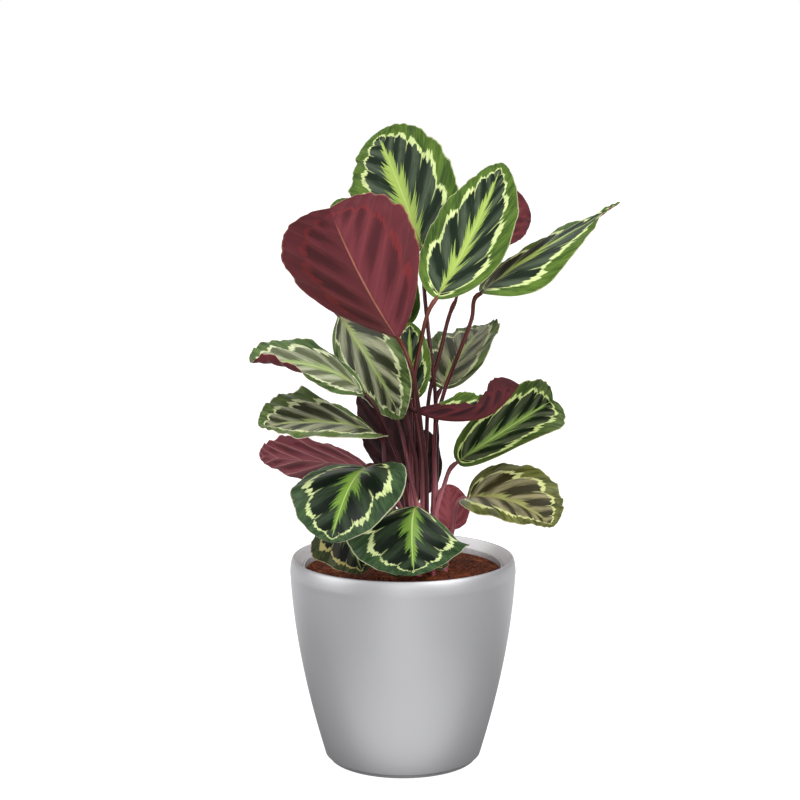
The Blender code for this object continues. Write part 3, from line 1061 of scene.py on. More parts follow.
@dataclass(frozen=True)
class SoilFinish:
    """Reddish-brown coir: crumbs and fibres, darker in the hollows by painted shade."""

    crumb: tuple = srgb(126, 62, 34)
    light: tuple = srgb(172, 98, 54)
    # deep is the dark of the painted shade in the ground's hollows, and the darkest tone of the
    # loose chips.
    deep: tuple = srgb(34, 16, 12)
    specular: float = 0.15

    def ground(self) -> bpy.types.Material:
        """The fine crumbly ground.

        Returns:
            The material.
        """
        s = Surface("soil_ground", 0.92, specular=self.specular)
        crumbs = s.cells(s.place(), 420.0)
        grain = s.noise(s.place(), 260.0, 4.0, 0.65)
        tint = s.noise(s.place(), 45.0, 3.0)
        # Painted shade: where the grain is low, which the bump sinks into hollows, the ground takes
        # the dark colour.
        colour = s.mix(s.rise(grain, 0.35, 0.68), self.deep, self.crumb)
        s.colour(s.mix(s.rise(tint, 0.52, 0.75) * 0.6, colour, self.light))
        s.bump(grain * 0.8 - crumbs * 0.5, 0.0016, 1.0)
        return s.material

    def chips(self) -> bpy.types.Material:
        """The loose crumbs and fibres, each a shade of its own.

        Returns:
            The material.
        """
        s = Surface("soil_chips", 0.9, specular=self.specular)
        grain = s.noise(s.place(), 500.0, 3.0, 0.6)
        colour = s.mix(s.marked("chip_tone"), self.deep, self.light)
        s.colour(s.mix(s.rise(grain, 0.3, 0.7) * 0.55, colour, self.crumb))
        s.bump(grain, 0.0006, 0.8)
        return s.material


@dataclass(frozen=True)
class Leaf:
    """One leaf, with the sizes and the form that its solids have.

    root is the stalk's place at the soil and stalk the points that it passes. base and tip are
    the ends of the blade's midrib, and face is the way its upper side looks. arch lifts the
    midrib's middle towards face, bow moves it to the left and hook lifts the tip. fold and curl
    turn the left and right halves up from the midrib, in degrees: fold at once, curl growing
    towards the margin, tip_curl growing towards the tip. twist turns the tip against the base.
    base_round and tip_round shape the outline's ends, sharper the higher they are. wave is the
    height of the margin's waves and waves their number. warmth, pleat, notch and feather say how
    warm the stalk's top is and how strong the pleats, the margin's nicks and the feather are.
    """

    name: str
    tone: BladeTone
    root: tuple
    base: tuple
    tip: tuple
    face: tuple
    width: float
    stalk: tuple = ()
    arch: float = 0.010
    bow: float = 0.0
    fold: tuple = (5, 5)
    curl: tuple = (0, 0)
    tip_curl: tuple = (0, 0)
    twist: float = 0
    base_round: float = 0.50
    tip_round: float = 0.60
    wave: float = 0.002
    waves: float = 2.5
    hook: float = 0.0
    warmth: float = 0.0
    side_veins: float = 7.0
    pleat: float = 1.0
    notch: float = 1.0
    feather: float = 1.0


LEAVES = [
    Leaf(
        "top", BladeTone.FRESH, root=(0.036, 0.016), base=(0.024, 0.062, 0.630),
        tip=(-0.034, 0.164, 0.774), face=(-0.44, -0.79, 0.41), width=0.146, feather=1.1, warmth=0.4,
        notch=1.6, arch=0.004, bow=-0.004, curl=(-15, -8), twist=-10, base_round=0.42,
        tip_round=0.50,
        stalk=(
            (0.039, 0.016, 0.386), (0.040, 0.018, 0.453), (0.034, 0.022, 0.508),
            (0.030, 0.031, 0.545), (0.026, 0.043, 0.588),
        ),
    ),
    Leaf(
        "front_left_high", BladeTone.FRESH, root=(0.030, -0.036), base=(-0.006, -0.085, 0.536),
        tip=(-0.082, -0.190, 0.693), face=(-0.15, 0.82, 0.54), width=0.172, warmth=0.8,
        side_veins=6.5, notch=0.8, arch=-0.006, bow=-0.004, fold=(24, 30), curl=(10, -10), twist=10,
        base_round=0.75, tip_round=0.46,
        stalk=(
            (0.029, -0.042, 0.324), (0.028, -0.055, 0.375), (0.023, -0.068, 0.416),
            (0.018, -0.078, 0.456), (0.009, -0.085, 0.503),
        ),
    ),
    Leaf(
        "right_high", BladeTone.FRESH, root=(0.024, -0.020), base=(0.040, 0.000, 0.575),
        tip=(0.123, 0.066, 0.738), face=(-0.37, -0.79, 0.50), width=0.118, warmth=1.0, arch=-0.002,
        bow=-0.005, fold=(10, 15), curl=(-20, -15), base_round=0.55, tip_round=0.72,
        stalk=(
            (0.023, -0.020, 0.359), (0.021, -0.020, 0.399), (0.015, -0.017, 0.438),
            (0.014, -0.014, 0.479), (0.021, -0.008, 0.520),
        ),
    ),
    Leaf(
        "far_right", BladeTone.FRESH, root=(0.044, 0.000), base=(0.094, 0.000, 0.582),
        tip=(0.268, 0.020, 0.687), face=(-0.45, -0.05, 0.89), width=0.118, warmth=0.4, arch=0.006,
        fold=(8, 0), curl=(-6, -70), base_round=0.55, tip_round=1.10, hook=0.006, tip_curl=(0, 190),
        stalk=(
            (0.040, 0.000, 0.338), (0.041, 0.000, 0.422), (0.052, 0.000, 0.465),
            (0.070, 0.000, 0.513), (0.084, 0.000, 0.551),
        ),
    ),
    Leaf(
        "back_right_high", BladeTone.FRESH, root=(0.028, 0.014), base=(0.065, 0.050, 0.568),
        tip=(0.159, 0.115, 0.684), face=(-0.40, 0.80, 0.30), width=0.074, warmth=0.7, notch=2.2,
        fold=(10, 10), base_round=2.0, tip_round=0.35, bow=-0.006,
        stalk=(
            (0.029, 0.016, 0.397), (0.033, 0.020, 0.456), (0.046, 0.029, 0.506),
        ),
    ),
    Leaf(
        "back_left_high", BladeTone.FRESH, root=(0.016, 0.022), base=(0.002, 0.066, 0.533),
        tip=(-0.084, 0.086, 0.691), face=(-0.22, -0.97, 0.14), width=0.100, arch=0.019, bow=-0.004,
        fold=(10, 15),
        stalk=(
            (0.014, 0.034, 0.360), (0.012, 0.040, 0.420), (0.007, 0.046, 0.480),
        ),
    ),
    Leaf(
        "right_mid_back", BladeTone.GREY, root=(0.040, 0.026), base=(0.047, 0.026, 0.461),
        tip=(0.104, 0.105, 0.532), face=(-0.34, -0.45, 0.83), width=0.112, feather=0.7, pleat=2.0,
        notch=1.4, side_veins=6.0, bow=-0.005, fold=(10, 15), curl=(5, 10), twist=-20,
        stalk=((0.043, 0.029, 0.396),),
    ),
    Leaf(
        "left_mid_front", BladeTone.GREY, root=(0.018, -0.034), base=(-0.080, 0.036, 0.552),
        tip=(-0.002, -0.046, 0.434), face=(-0.45, -0.80, 0.40), width=0.114, feather=0.7, pleat=1.5,
        side_veins=5.5, arch=0.012, bow=0.006, fold=(12, -32), curl=(10, -10), base_round=0.34,
        tip_round=0.62, wave=0.003,
        stalk=(
            (0.016, -0.038, 0.330), (0.008, -0.034, 0.365), (0.000, -0.018, 0.405),
            (-0.018, 0.002, 0.455), (-0.050, 0.022, 0.512),
        ),
    ),
    Leaf(
        "far_left_high", BladeTone.PALE, root=(0.008, -0.016), base=(-0.047, -0.039, 0.464),
        tip=(-0.179, -0.105, 0.511), face=(0.25, -0.42, 0.88), width=0.094, feather=0.8, pleat=1.6,
        notch=1.3, side_veins=6.0, arch=0.018, fold=(5, 10), curl=(-15, -10), base_round=0.65,
        tip_round=0.50, twist=8, tip_curl=(260, 0),
        stalk=(
            (-0.006, -0.031, 0.384), (-0.024, -0.037, 0.427), (-0.037, -0.040, 0.453),
        ),
    ),
    Leaf(
        "far_left_mid", BladeTone.GREY, root=(-0.002, -0.008), base=(-0.032, -0.015, 0.411),
        tip=(-0.169, -0.110, 0.436), face=(0.28, -0.25, 0.93), width=0.128, feather=0.6, pleat=1.8,
        notch=1.8, side_veins=6.0, arch=0.013, bow=0.005, fold=(15, 6), curl=(-5, 5), twist=-10,
        base_round=0.60, tip_round=0.65,
        stalk=(
            (-0.013, -0.010, 0.328), (-0.022, -0.013, 0.372),
        ),
    ),
    Leaf(
        "far_left_low", BladeTone.STRIPED, root=(-0.006, 0.004), base=(-0.044, 0.010, 0.368),
        tip=(-0.182, 0.067, 0.370), face=(0.28, 0.64, 0.71), width=0.103, pleat=1.6, side_veins=6.0,
        arch=0.005, bow=-0.008, fold=(0, 5), twist=13, base_round=0.60, tip_round=0.57,
        stalk=((-0.014, 0.005, 0.312),),
    ),
    Leaf(
        "front_left_low", BladeTone.DEEP, root=(0.004, -0.032), base=(-0.043, -0.070, 0.380),
        tip=(-0.084, -0.150, 0.305), face=(-0.12, -0.60, 0.79), width=0.152, notch=0.3,
        side_veins=4.6, arch=0.020, fold=(28, 0), curl=(-25, -25), base_round=0.48, tip_round=0.58,
        stalk=((-0.002, -0.034, 0.320),),
    ),
    Leaf(
        "front_low", BladeTone.DEEP, root=(0.020, -0.052), base=(0.017, -0.071, 0.333),
        tip=(0.013, -0.138, 0.263), face=(-0.10, -0.69, 0.72), width=0.160, feather=0.8, pleat=1.8,
        notch=0.4, side_veins=5.0, arch=0.026, bow=-0.002, fold=(-30, -8), curl=(-15, -5),
        base_round=0.72, tip_round=0.55,
    ),
    Leaf(
        "rim_left", BladeTone.SHADED, root=(-0.008, -0.024), base=(-0.066, -0.040, 0.317),
        tip=(-0.048, -0.099, 0.256), face=(-0.48, -0.68, 0.55), width=0.112, notch=0.8,
        side_veins=4.5, arch=0.020, bow=0.004, fold=(-30, 0), base_round=0.46, tip_round=0.70,
        stalk=((-0.018, -0.027, 0.290),),
    ),
    Leaf(
        "rim_front", BladeTone.SHADED, root=(0.002, -0.046), base=(-0.001, -0.062, 0.292),
        tip=(-0.008, -0.092, 0.250), face=(0.00, -0.60, 0.80), width=0.060, side_veins=4.0,
        arch=0.008, fold=(-5, -5),
    ),
    Leaf(
        "rim_right", BladeTone.SHADED, root=(0.036, -0.048), base=(0.032, -0.062, 0.290),
        tip=(0.040, -0.100, 0.262), face=(0.60, 0.10, 0.60), width=0.050, side_veins=4.0,
        arch=0.006, fold=(-5, 20),
    ),
    Leaf(
        "right_mid", BladeTone.DUSKY, root=(0.044, -0.014), base=(0.067, 0.010, 0.371),
        tip=(0.189, 0.060, 0.442), face=(0.31, -0.82, 0.48), width=0.108, notch=0.7, side_veins=6.0,
        arch=0.012, fold=(48, 50), curl=(0, 10), twist=5, tip_round=0.38, tip_curl=(0, -110),
        waves=3.0,
        stalk=(
            (0.041, -0.012, 0.313), (0.050, -0.001, 0.342),
        ),
    ),
    Leaf(
        "curled_right", BladeTone.CURLED, root=(0.014, -0.026), base=(0.015, -0.038, 0.443),
        tip=(0.139, -0.066, 0.453), face=(-0.05, 0.20, 0.97), width=0.060, notch=0.8,
        side_veins=6.0, arch=-0.014, fold=(85, 55), curl=(5, 55), wave=0.010, waves=1.0,
        tip_round=0.30, base_round=0.80, hook=0.026,
        stalk=((0.016, -0.030, 0.375),),
    ),
    Leaf(
        "right_low", BladeTone.OLIVE, root=(0.052, -0.024), base=(0.078, -0.010, 0.330),
        tip=(0.182, -0.060, 0.305), face=(0.15, -0.50, 0.85), width=0.126, feather=0.6, pleat=1.6,
        notch=1.2, side_veins=6.0, arch=0.012, bow=0.006, fold=(22, 28), curl=(-20, -25),
        tip_round=0.5, base_round=0.38,
        stalk=((0.060, -0.022, 0.290),),
    ),
    Leaf(
        "back_right_low", BladeTone.ROSY, root=(0.058, 0.030), base=(0.060, 0.040, 0.279),
        tip=(0.058, 0.060, 0.334), face=(0.10, 0.90, -0.20), width=0.050, arch=0.004,
    ),
    Leaf(
        "back_mid", BladeTone.SHADED, root=(0.026, 0.036), base=(0.027, 0.040, 0.325),
        tip=(0.028, 0.054, 0.405), face=(-0.30, 0.90, -0.20), width=0.050, arch=0.004,
    ),
    Leaf(
        "back_left_mid", BladeTone.SHADED, root=(0.000, 0.014), base=(0.004, 0.012, 0.345),
        tip=(-0.046, 0.020, 0.474), face=(-0.30, 0.90, 0.10), width=0.062, arch=0.004,
        fold=(10, 10),
    ),
    Leaf(
        "back_centre", BladeTone.SHADED, root=(0.006, 0.036), base=(0.004, 0.056, 0.300),
        tip=(-0.010, 0.068, 0.450), face=(0.20, 0.90, 0.10), width=0.060, arch=0.004, fold=(10, 10),
    ),
    Leaf(
        "centre_mid", BladeTone.FRESH, root=(0.012, 0.004), base=(0.009, 0.010, 0.448),
        tip=(0.008, 0.014, 0.545), face=(0.00, -0.95, 0.20), width=0.052, side_veins=5.0,
        arch=0.006,
        stalk=((0.010, 0.006, 0.380),),
    ),
]


@dataclass(frozen=True)
class Blade:
    """A leaf's blade: a fine sheet laid along its veins, pleated, with a rib along its back.

    The sheet follows the same formula as its solid, with finer ruffles at the margin. A row of
    ruffles is a height, the waves along the blade and the turn of its start.
    """

    leaf: Leaf
    seed: float
    rows: int = 112
    columns: int = 48
    full_length: float = 0.15
    least_detail: float = 0.45
    vein_sweep: float = 0.6
    row_bunching: float = 0.08
    pleat_height: float = 0.0010
    small_pleat: float = 0.00018
    scallop: float = 0.015
    notch: float = 0.024
    ruffle: float = 0.0012
    ruffles: tuple = ((0.8, 5.3, 1.0), (0.8, 8.9, 2.3), (0.6, 14.7, 1.7), (0.35, 27.1, 3.1))
    sheet: float = 0.0005
    rib: float = 0.0022
    rib_width: float = 0.004

    def axes(self) -> tuple[float, np.ndarray, np.ndarray, np.ndarray]:
        """The blade's length and its axes: towards the tip, to the left, and out of its face.

        Returns:
            The length and the three axes, each one long.
        """
        base, tip = np.array(self.leaf.base), np.array(self.leaf.tip)
        length = float(np.linalg.norm(tip - base))
        forward = (tip - base) / length
        up = np.array(self.leaf.face, float)
        up = up - forward * up.dot(forward)
        up = up / np.linalg.norm(up)
        return length, forward, np.cross(up, forward), up

    def midrib(self, along: np.ndarray) -> np.ndarray:
        """Points of the midrib.

        Args:
            along: Shares of the way from the base, 0, to the tip, 1.

        Returns:
            One point for each share.
        """
        length, forward, left, up = self.axes()
        leaf = self.leaf
        bulge = 4 * along * (1 - along)
        lift = leaf.arch * bulge * (1.2 - 0.4 * along)
        lift = lift + leaf.hook * np.maximum(0.0, (along - 0.6) / 0.4) ** 2
        return (
            np.array(leaf.base)
            + np.multiply.outer(length * along, forward)
            + np.multiply.outer(lift, up)
            + np.multiply.outer(leaf.bow * bulge, left)
        )

    def half_width(self, along: np.ndarray) -> np.ndarray:
        """Half the blade's width at shares of its length.

        Args:
            along: Shares of the way from the base, 0, to the tip, 1.

        Returns:
            One half width for each share.
        """
        base_round, tip_round = self.leaf.base_round, self.leaf.tip_round
        widest = base_round / (base_round + tip_round)
        peak = widest**base_round * (1 - widest) ** tip_round
        along = np.clip(along, 0.0, 1.0)
        return 0.5 * self.leaf.width * along**base_round * (1 - along) ** tip_round / peak

    def on_vein(self, row: np.ndarray) -> np.ndarray:
        """Where rows meet the midrib: closer together at the base and the tip."""
        return row - self.row_bunching * np.sin(2 * np.pi * row)

    def surface(self, row: np.ndarray, across: np.ndarray) -> np.ndarray:
        """Points of the blade's sheet.

        Args:
            row: From 0 at the base to 1 at the tip, along the side veins.
            across: From -1 at the right margin to 1 at the left one.

        Returns:
            One point for each pair.
        """
        leaf = self.leaf
        left, up = self.axes()[2:]
        out_share = np.abs(across)
        vein = self.on_vein(row)
        sweep = self.vein_sweep * vein * (1 - vein)
        along = vein + sweep * out_share**1.2
        line = row - VEIN_LEAD * 4 * row * (1 - row) * out_share**VEIN_CURVE
        pleat = np.cos(2 * np.pi * leaf.side_veins * line)
        small_pleat = np.cos(6 * np.pi * leaf.side_veins * line)
        fade = np.sqrt(np.maximum(0.0, 4 * vein * (1 - vein)))
        half = np.where(across >= 0, 0, 1)
        fine = self.fine_ruffle(row, half)
        reach = self.half_width(vein + sweep) * out_share * (1 + self.scallop * pleat)
        reach = reach * (1 + self.notch * leaf.notch * fine * fade * out_share**6)

        tangent = self.midrib(along + 0.001) - self.midrib(along - 0.001)
        tangent = tangent / np.linalg.norm(tangent, axis=1, keepdims=True)
        turn = np.radians(leaf.twist) * (along - 0.5)
        side = np.multiply.outer(np.cos(turn), left) + np.multiply.outer(np.sin(turn), up)
        side = side - tangent * np.sum(side * tangent, axis=1, keepdims=True)
        side = side / np.linalg.norm(side, axis=1, keepdims=True)
        normal = np.cross(tangent, side)

        start = np.radians(np.array(leaf.fold, float))[half]
        tip_curl = np.array(leaf.tip_curl, float)[half] * np.maximum(0.0, along) ** 5
        bend = np.radians(np.array(leaf.curl, float)[half] + tip_curl)
        bend = np.where(np.abs(bend) < 0.001, 0.001, bend)
        radius = 0.5 * leaf.width / bend
        end = start + reach / radius
        out = radius * (np.sin(end) - np.sin(start))
        lift = radius * (np.cos(start) - np.cos(end))
        swing = 2 * np.pi * leaf.waves * vein + np.where(half == 0, 0.0, 1.7)
        lift = lift + leaf.wave * across**2 * np.sin(swing) * fade
        lift = lift + self.pleat_height * leaf.pleat * pleat * np.sqrt(out_share) * fade
        lift = lift + self.small_pleat * small_pleat * out_share * fade
        lift = lift + self.ruffle * fine * out_share**4 * fade
        out = np.copysign(out, across)
        return self.midrib(along) + side * out[:, None] + normal * lift[:, None]

    def fine_ruffle(self, row: np.ndarray, half: np.ndarray) -> np.ndarray:
        """Small uneven waves along the margin, from about -1 to 1.

        Args:
            row: The places along the blade.
            half: 0 in the left half, 1 in the right one.

        Returns:
            One height for each place.
        """
        shift = self.seed + 4.1 * half
        waves = [
            height * np.sin(2 * np.pi * number * row + start * shift)
            for height, number, start in self.ruffles
        ]
        return sum(waves) / 2.0

    def build(self, finish: BladeFinish) -> bpy.types.Object:
        """Model the blade and dress it.

        Args:
            finish: The materials of its tone.

        Returns:
            The finished blade.
        """
        detail = min(1.0, max(self.least_detail, self.axes()[0] / self.full_length))
        columns, rows = 2 * round(self.columns * detail / 2), round(self.rows * detail)
        item, flat = add_grid(f"blade_{self.leaf.name}", columns, rows, "vein_lines")
        row, across = (flat[:, 1] + 1) / 2, -flat[:, 0]
        set_coordinates(item, self.surface(row, across))
        mark(item, "leaf_seed", self.seed)
        mark(item, "side_veins", self.leaf.side_veins)
        mark(item, "feather_size", self.leaf.feather)
        self.weigh_rib(item, row, across)
        merge_doubles(item, 0.00003)
        for material in finish.materials():
            item.data.materials.append(material)
        thicken = item.modifiers.new("thicken", "SOLIDIFY")
        thicken.thickness = self.rib
        thicken.thickness_vertex_group = self.sheet / self.rib
        thicken.vertex_group = "rib"
        thicken.offset = -1.0
        thicken.material_offset = 1
        thicken.material_offset_rim = 2
        apply_modifiers(item)
        shade_smooth(item, 60.0)
        finish_piece(item, "blade", f"leaf_{self.leaf.name}_blade")
        return item

    def weigh_rib(self, item: bpy.types.Object, row: np.ndarray, across: np.ndarray) -> None:
        """Weigh the vertices by how far the rib stands out beneath them.

        Args:
            item: The flat sheet.
            row: The place of each vertex along the blade.
            across: The place of each vertex across it.
        """
        group = item.vertex_groups.new(name="rib")
        width = self.rib_width / np.maximum(self.rib_width, self.half_width(self.on_vein(row)))
        weight = np.exp(-((np.abs(across) / width) ** 2)) * (1 - row) ** 0.7
        for index, value in enumerate(weight):
            group.add([index], float(value), "REPLACE")


@dataclass(frozen=True)
class Stalk:
    """A leaf's stalk: sheathed at the soil, slender above, and grown into the blade's rib."""

    leaf: Leaf
    seed: float
    root_radius: float = 0.0034
    top_radius: float = 0.0025
    taper_height: float = 0.150
    foot: float = 0.004
    sheath_swell: float = 0.24
    sheath_start: float = 0.012
    sheath_height: float = 0.07
    groove: float = 0.10
    knots: float = 0.03
    knot_turn: float = 400.0
    knee: float = 0.004
    knee_swell: float = 0.22
    knee_place: float = 0.013
    knee_reach: float = 0.006
    end_share: float = 0.45
    end_reach: float = 0.008
    rib_ways: tuple = (0.01, 0.035)
    rib_drops: tuple = (0.0008, 0.0012)
    sides: int = 18
    step: float = 0.005

    def path(self) -> list[Vector]:
        """The centre line, from the hole in the soil to a little way along the rib.

        Returns:
            The line's points, about a step apart above the soil.
        """
        surface = Vector((*self.leaf.root, SOIL_TOP))
        base = Vector(self.leaf.base)
        blade = Blade(self.leaf, self.seed)
        near, far = (Vector(point) for point in blade.midrib(np.array(self.rib_ways)))
        back = (base - near).normalized()
        down = Vector(blade.axes()[3]) * -1.0
        ways = [surface + Vector((0, 0, self.foot))] + [Vector(way) for way in self.leaf.stalk]
        ways += [base + back * self.knee, base + down * self.rib_drops[0]]
        ways.append(far + down * self.rib_drops[1])
        return [surface - Vector((0, 0, ROOT_DEPTH))] + smooth_path(ways, self.step)

    def radius(self, height: float, left: float, angle: float) -> float:
        """The stalk's radius, without its knots.

        Args:
            height: The height above the soil.
            left: The length that is left to its upper end.
            angle: The angle round the stalk.

        Returns:
            The radius.
        """
        thin = min(1.0, max(0.0, (height - self.foot) / self.taper_height))
        radius = self.root_radius + (self.top_radius - self.root_radius) * thin**0.6
        sheath = max(0.0, 1 - height / self.sheath_height)
        swell = self.sheath_swell * min(1.0, max(0.0, height / self.sheath_start))
        groove = self.groove * sheath * max(0.0, math.cos(angle - self.seed)) ** 3
        knee = self.knee_swell * math.exp(-(((left - self.knee_place) / self.knee_reach) ** 2))
        end = self.end_share + (1 - self.end_share) * min(1.0, left / self.end_reach)
        return radius * (1 + swell * sheath) * (1 + knee) * end * (1 - groove)

    def build(self, finish: StalkFinish) -> bpy.types.Object:
        """Model the stalk and dress it.

        Args:
            finish: The stalks' skin.

        Returns:
            The finished stalk.
        """
        path = self.path()
        lengths = path_lengths(path)
        heights = [place.z - SOIL_TOP for place in path]

        def reach(share: float, angle: float) -> float:
            """The stalk's radius at a share of its length and an angle.

            Args:
                share: The share of its length.
                angle: The angle round it.

            Returns:
                The radius.
            """
            length = share * lengths[-1]
            height = float(np.interp(length, lengths, heights))
            knots = 1 + self.knots * math.sin(self.knot_turn * length + self.seed)
            return self.radius(height, lengths[-1] - length, angle) * knots

        item = wrap_tube(f"stalk_{self.leaf.name}", path, self.sides, reach)
        mark(item, "warmth", self.leaf.warmth)
        mark(item, "stalk_seed", self.seed)
        item.data.materials.append(finish.material())
        shade_smooth(item, 60.0)
        finish_piece(item, "stalk", f"leaf_{self.leaf.name}_stalk")
        return item


@dataclass(frozen=True)
class Shoot:
    """A new leaf, still rolled up in a thin spindle, its outer edge winding up it.

    ways are the centre line's points beside the root, and profile the shares of its length
    with the radius there.
    """

    root: tuple = (0.010, -0.042)
    foot: float = 0.004
    ways: tuple = ((0.003, -0.001, 0.285), (0.006, -0.002, 0.315), (0.007, -0.003, 0.338))
    profile: tuple = (
        (0.0, 0.0030),
        (0.27, 0.0030),
        (0.58, 0.0034),
        (0.80, 0.0027),
        (0.94, 0.0013),
        (1.0, 0.0004),
    )
    edge_step: float = 0.14
    sides: int = 32
    step: float = 0.003

    def build(self, finish: ShootFinish) -> bpy.types.Object:
        """Model the rolled leaf and dress it.

        Args:
            finish: The young leaf's skin.

        Returns:
            The finished shoot.
        """
        foot = Vector((*self.root, 0.0))
        ways = [foot + Vector((0, 0, SOIL_TOP + self.foot))]
        ways += [foot + Vector(way) for way in self.ways]
        path = [foot + Vector((0, 0, SOIL_TOP - ROOT_DEPTH))] + smooth_path(ways, self.step)
        shares, radii = zip(*self.profile)

        def reach(share: float, angle: float) -> float:
            """The rolled leaf's radius, with a small step where its edge winds up it.

            Args:
                share: The share of its length.
                angle: The angle round it.

            Returns:
                The radius.
            """
            turn = (angle / (2 * math.pi) + SHOOT_TURNS * share) % 1.0
            step = 1 - self.edge_step / 2 + self.edge_step * turn
            return float(np.interp(share, shares, radii)) * step

        item = wrap_tube("rolled_young_leaf", path, self.sides, reach)
        item.data.materials.append(finish.material())
        shade_smooth(item, 50.0)
        finish_piece(item, "shoot", "new_shoot")
        return item


@dataclass(frozen=True)
class Planter:
    """The outer pot: a swelling wall on a short foot, with a rolled rim and a shelf inside."""

    height: float = 0.255
    radius: float = 0.140
    foot_radius: float = 0.0953
    foot_step: float = 0.0045
    swell_height: float = 0.250
    swell_power: float = 1.7
    wall: float = 0.004
    floor: float = 0.006
    floor_edge: float = 0.0095
    floor_corner: float = 0.012
    floor_rings: tuple = (0.020, 0.045, 0.070)
    lip_radius: float = 0.1345
    shoulder: float = 0.0210
    shoulder_turns: tuple = (12, 84)
    seat_radius: float = 0.1244
    seat_top: float = 0.2440
    shelf_radius: float = 0.1195
    shelf_top: float = 0.2345
    shelf_thickness: float = 0.006
    round_edge: float = 0.0008
    sides: int = 192

    def wall_radius(self, height: float) -> float:
        """The outer radius at a height."""
        rise = 1 - max(0.0, 1 - height / self.swell_height) ** self.swell_power
        return self.foot_radius + (self.radius - self.foot_radius) * rise

    def outline(self) -> list[tuple[float, float]]:
        """The wall's section, from the inner floor up over the rim and down to the foot.

        Returns:
            Radius and height of each point.
        """
        start = [(0.0, self.floor)] + [(radius, self.floor) for radius in self.floor_rings]
        start.append((self.foot_radius - self.floor_edge, self.floor))
        end = [(radius, 0.0) for radius in reversed(self.floor_rings)] + [(0.0, 0.0)]
        return start + self.inside() + self.rim() + self.outside() + end

    def inside(self) -> list[tuple[float, float]]:
        """The section inside the wall, from the floor's corner up to the shelf.

        Returns:
            Radius and height of each point.
        """
        under = self.shelf_top - self.shelf_thickness
        heights = np.linspace(self.floor_corner, under, 18)
        return [(self.wall_radius(z) - self.wall, z) for z in heights] + [
            (self.shelf_radius + self.round_edge, under),
            (self.shelf_radius, under + self.round_edge),
            (self.shelf_radius, self.shelf_top - 0.0006),
            (self.shelf_radius + 0.0006, self.shelf_top),
            (self.seat_radius, self.shelf_top),
        ]

    def rim(self) -> list[tuple[float, float]]:
        """The section from the seat up the slope to the sharp lip and over the soft shoulder.

        Returns:
            Radius and height of each point.
        """
        reach = self.radius - self.lip_radius - 0.0010
        turns = np.radians(np.linspace(*self.shoulder_turns, 13))
        return [
            (self.seat_radius, self.seat_top),
            (self.seat_radius + 0.0006, self.seat_top + 0.0012),
            (self.lip_radius - 0.0010, self.height - 0.0012),
            (self.lip_radius - 0.0003, self.height - 0.0004),
            (self.lip_radius + 0.0005, self.height),
        ] + [
            (
                self.radius - reach * (1 - math.sin(turn)),
                self.height - self.shoulder * (1 - math.cos(turn)),
            )
            for turn in turns
        ]

    def outside(self) -> list[tuple[float, float]]:
        """The section outside the wall, from below the shoulder down to the foot's underside.

        Returns:
            Radius and height of each point.
        """
        heights = np.linspace(self.height - 1.06 * self.shoulder, self.foot_step + 0.0014, 46)
        return [(self.wall_radius(z), float(z)) for z in heights] + [
            (self.foot_radius + 0.0003, self.foot_step + 0.0004),
            (self.foot_radius - 0.0006, self.foot_step - 0.0002),
            (self.foot_radius - 0.0020, self.foot_step - 0.0005),
            (self.foot_radius - 0.0027, self.foot_step - 0.0012),
            (self.foot_radius - 0.0030, 0.0012),
            (self.foot_radius - 0.0034, 0.0003),
            (self.foot_radius - 0.0042, 0.0),
        ]

    def build(self, finish: LacquerFinish, inside: LacquerFinish) -> bpy.types.Object:
        """Turn the pot and dress it.

        Args:
            finish: Its lacquer.
            inside: A paler, non-metallic copy of the lacquer for the rim's inner side, painted
                light where the rim shades the wall.

        Returns:
            The finished pot.
        """
        item = turn_outline("planter_shell", self.outline(), self.sides)
        item.data.materials.append(finish.material())
        item.data.materials.append(inside.material())
        # Faces on the rim's inner side take the paler copy of the lacquer, painted light where the
        # rim shades the wall.
        for face in item.data.polygons:
            middle = Vector(face.center)
            above_shelf = middle.z > self.shelf_top - 0.001
            face.material_index = int(above_shelf and middle.xy.length < self.lip_radius)
        shade_smooth(item, 32.0)
        finish_piece(item, "planter", "planter")
        return item


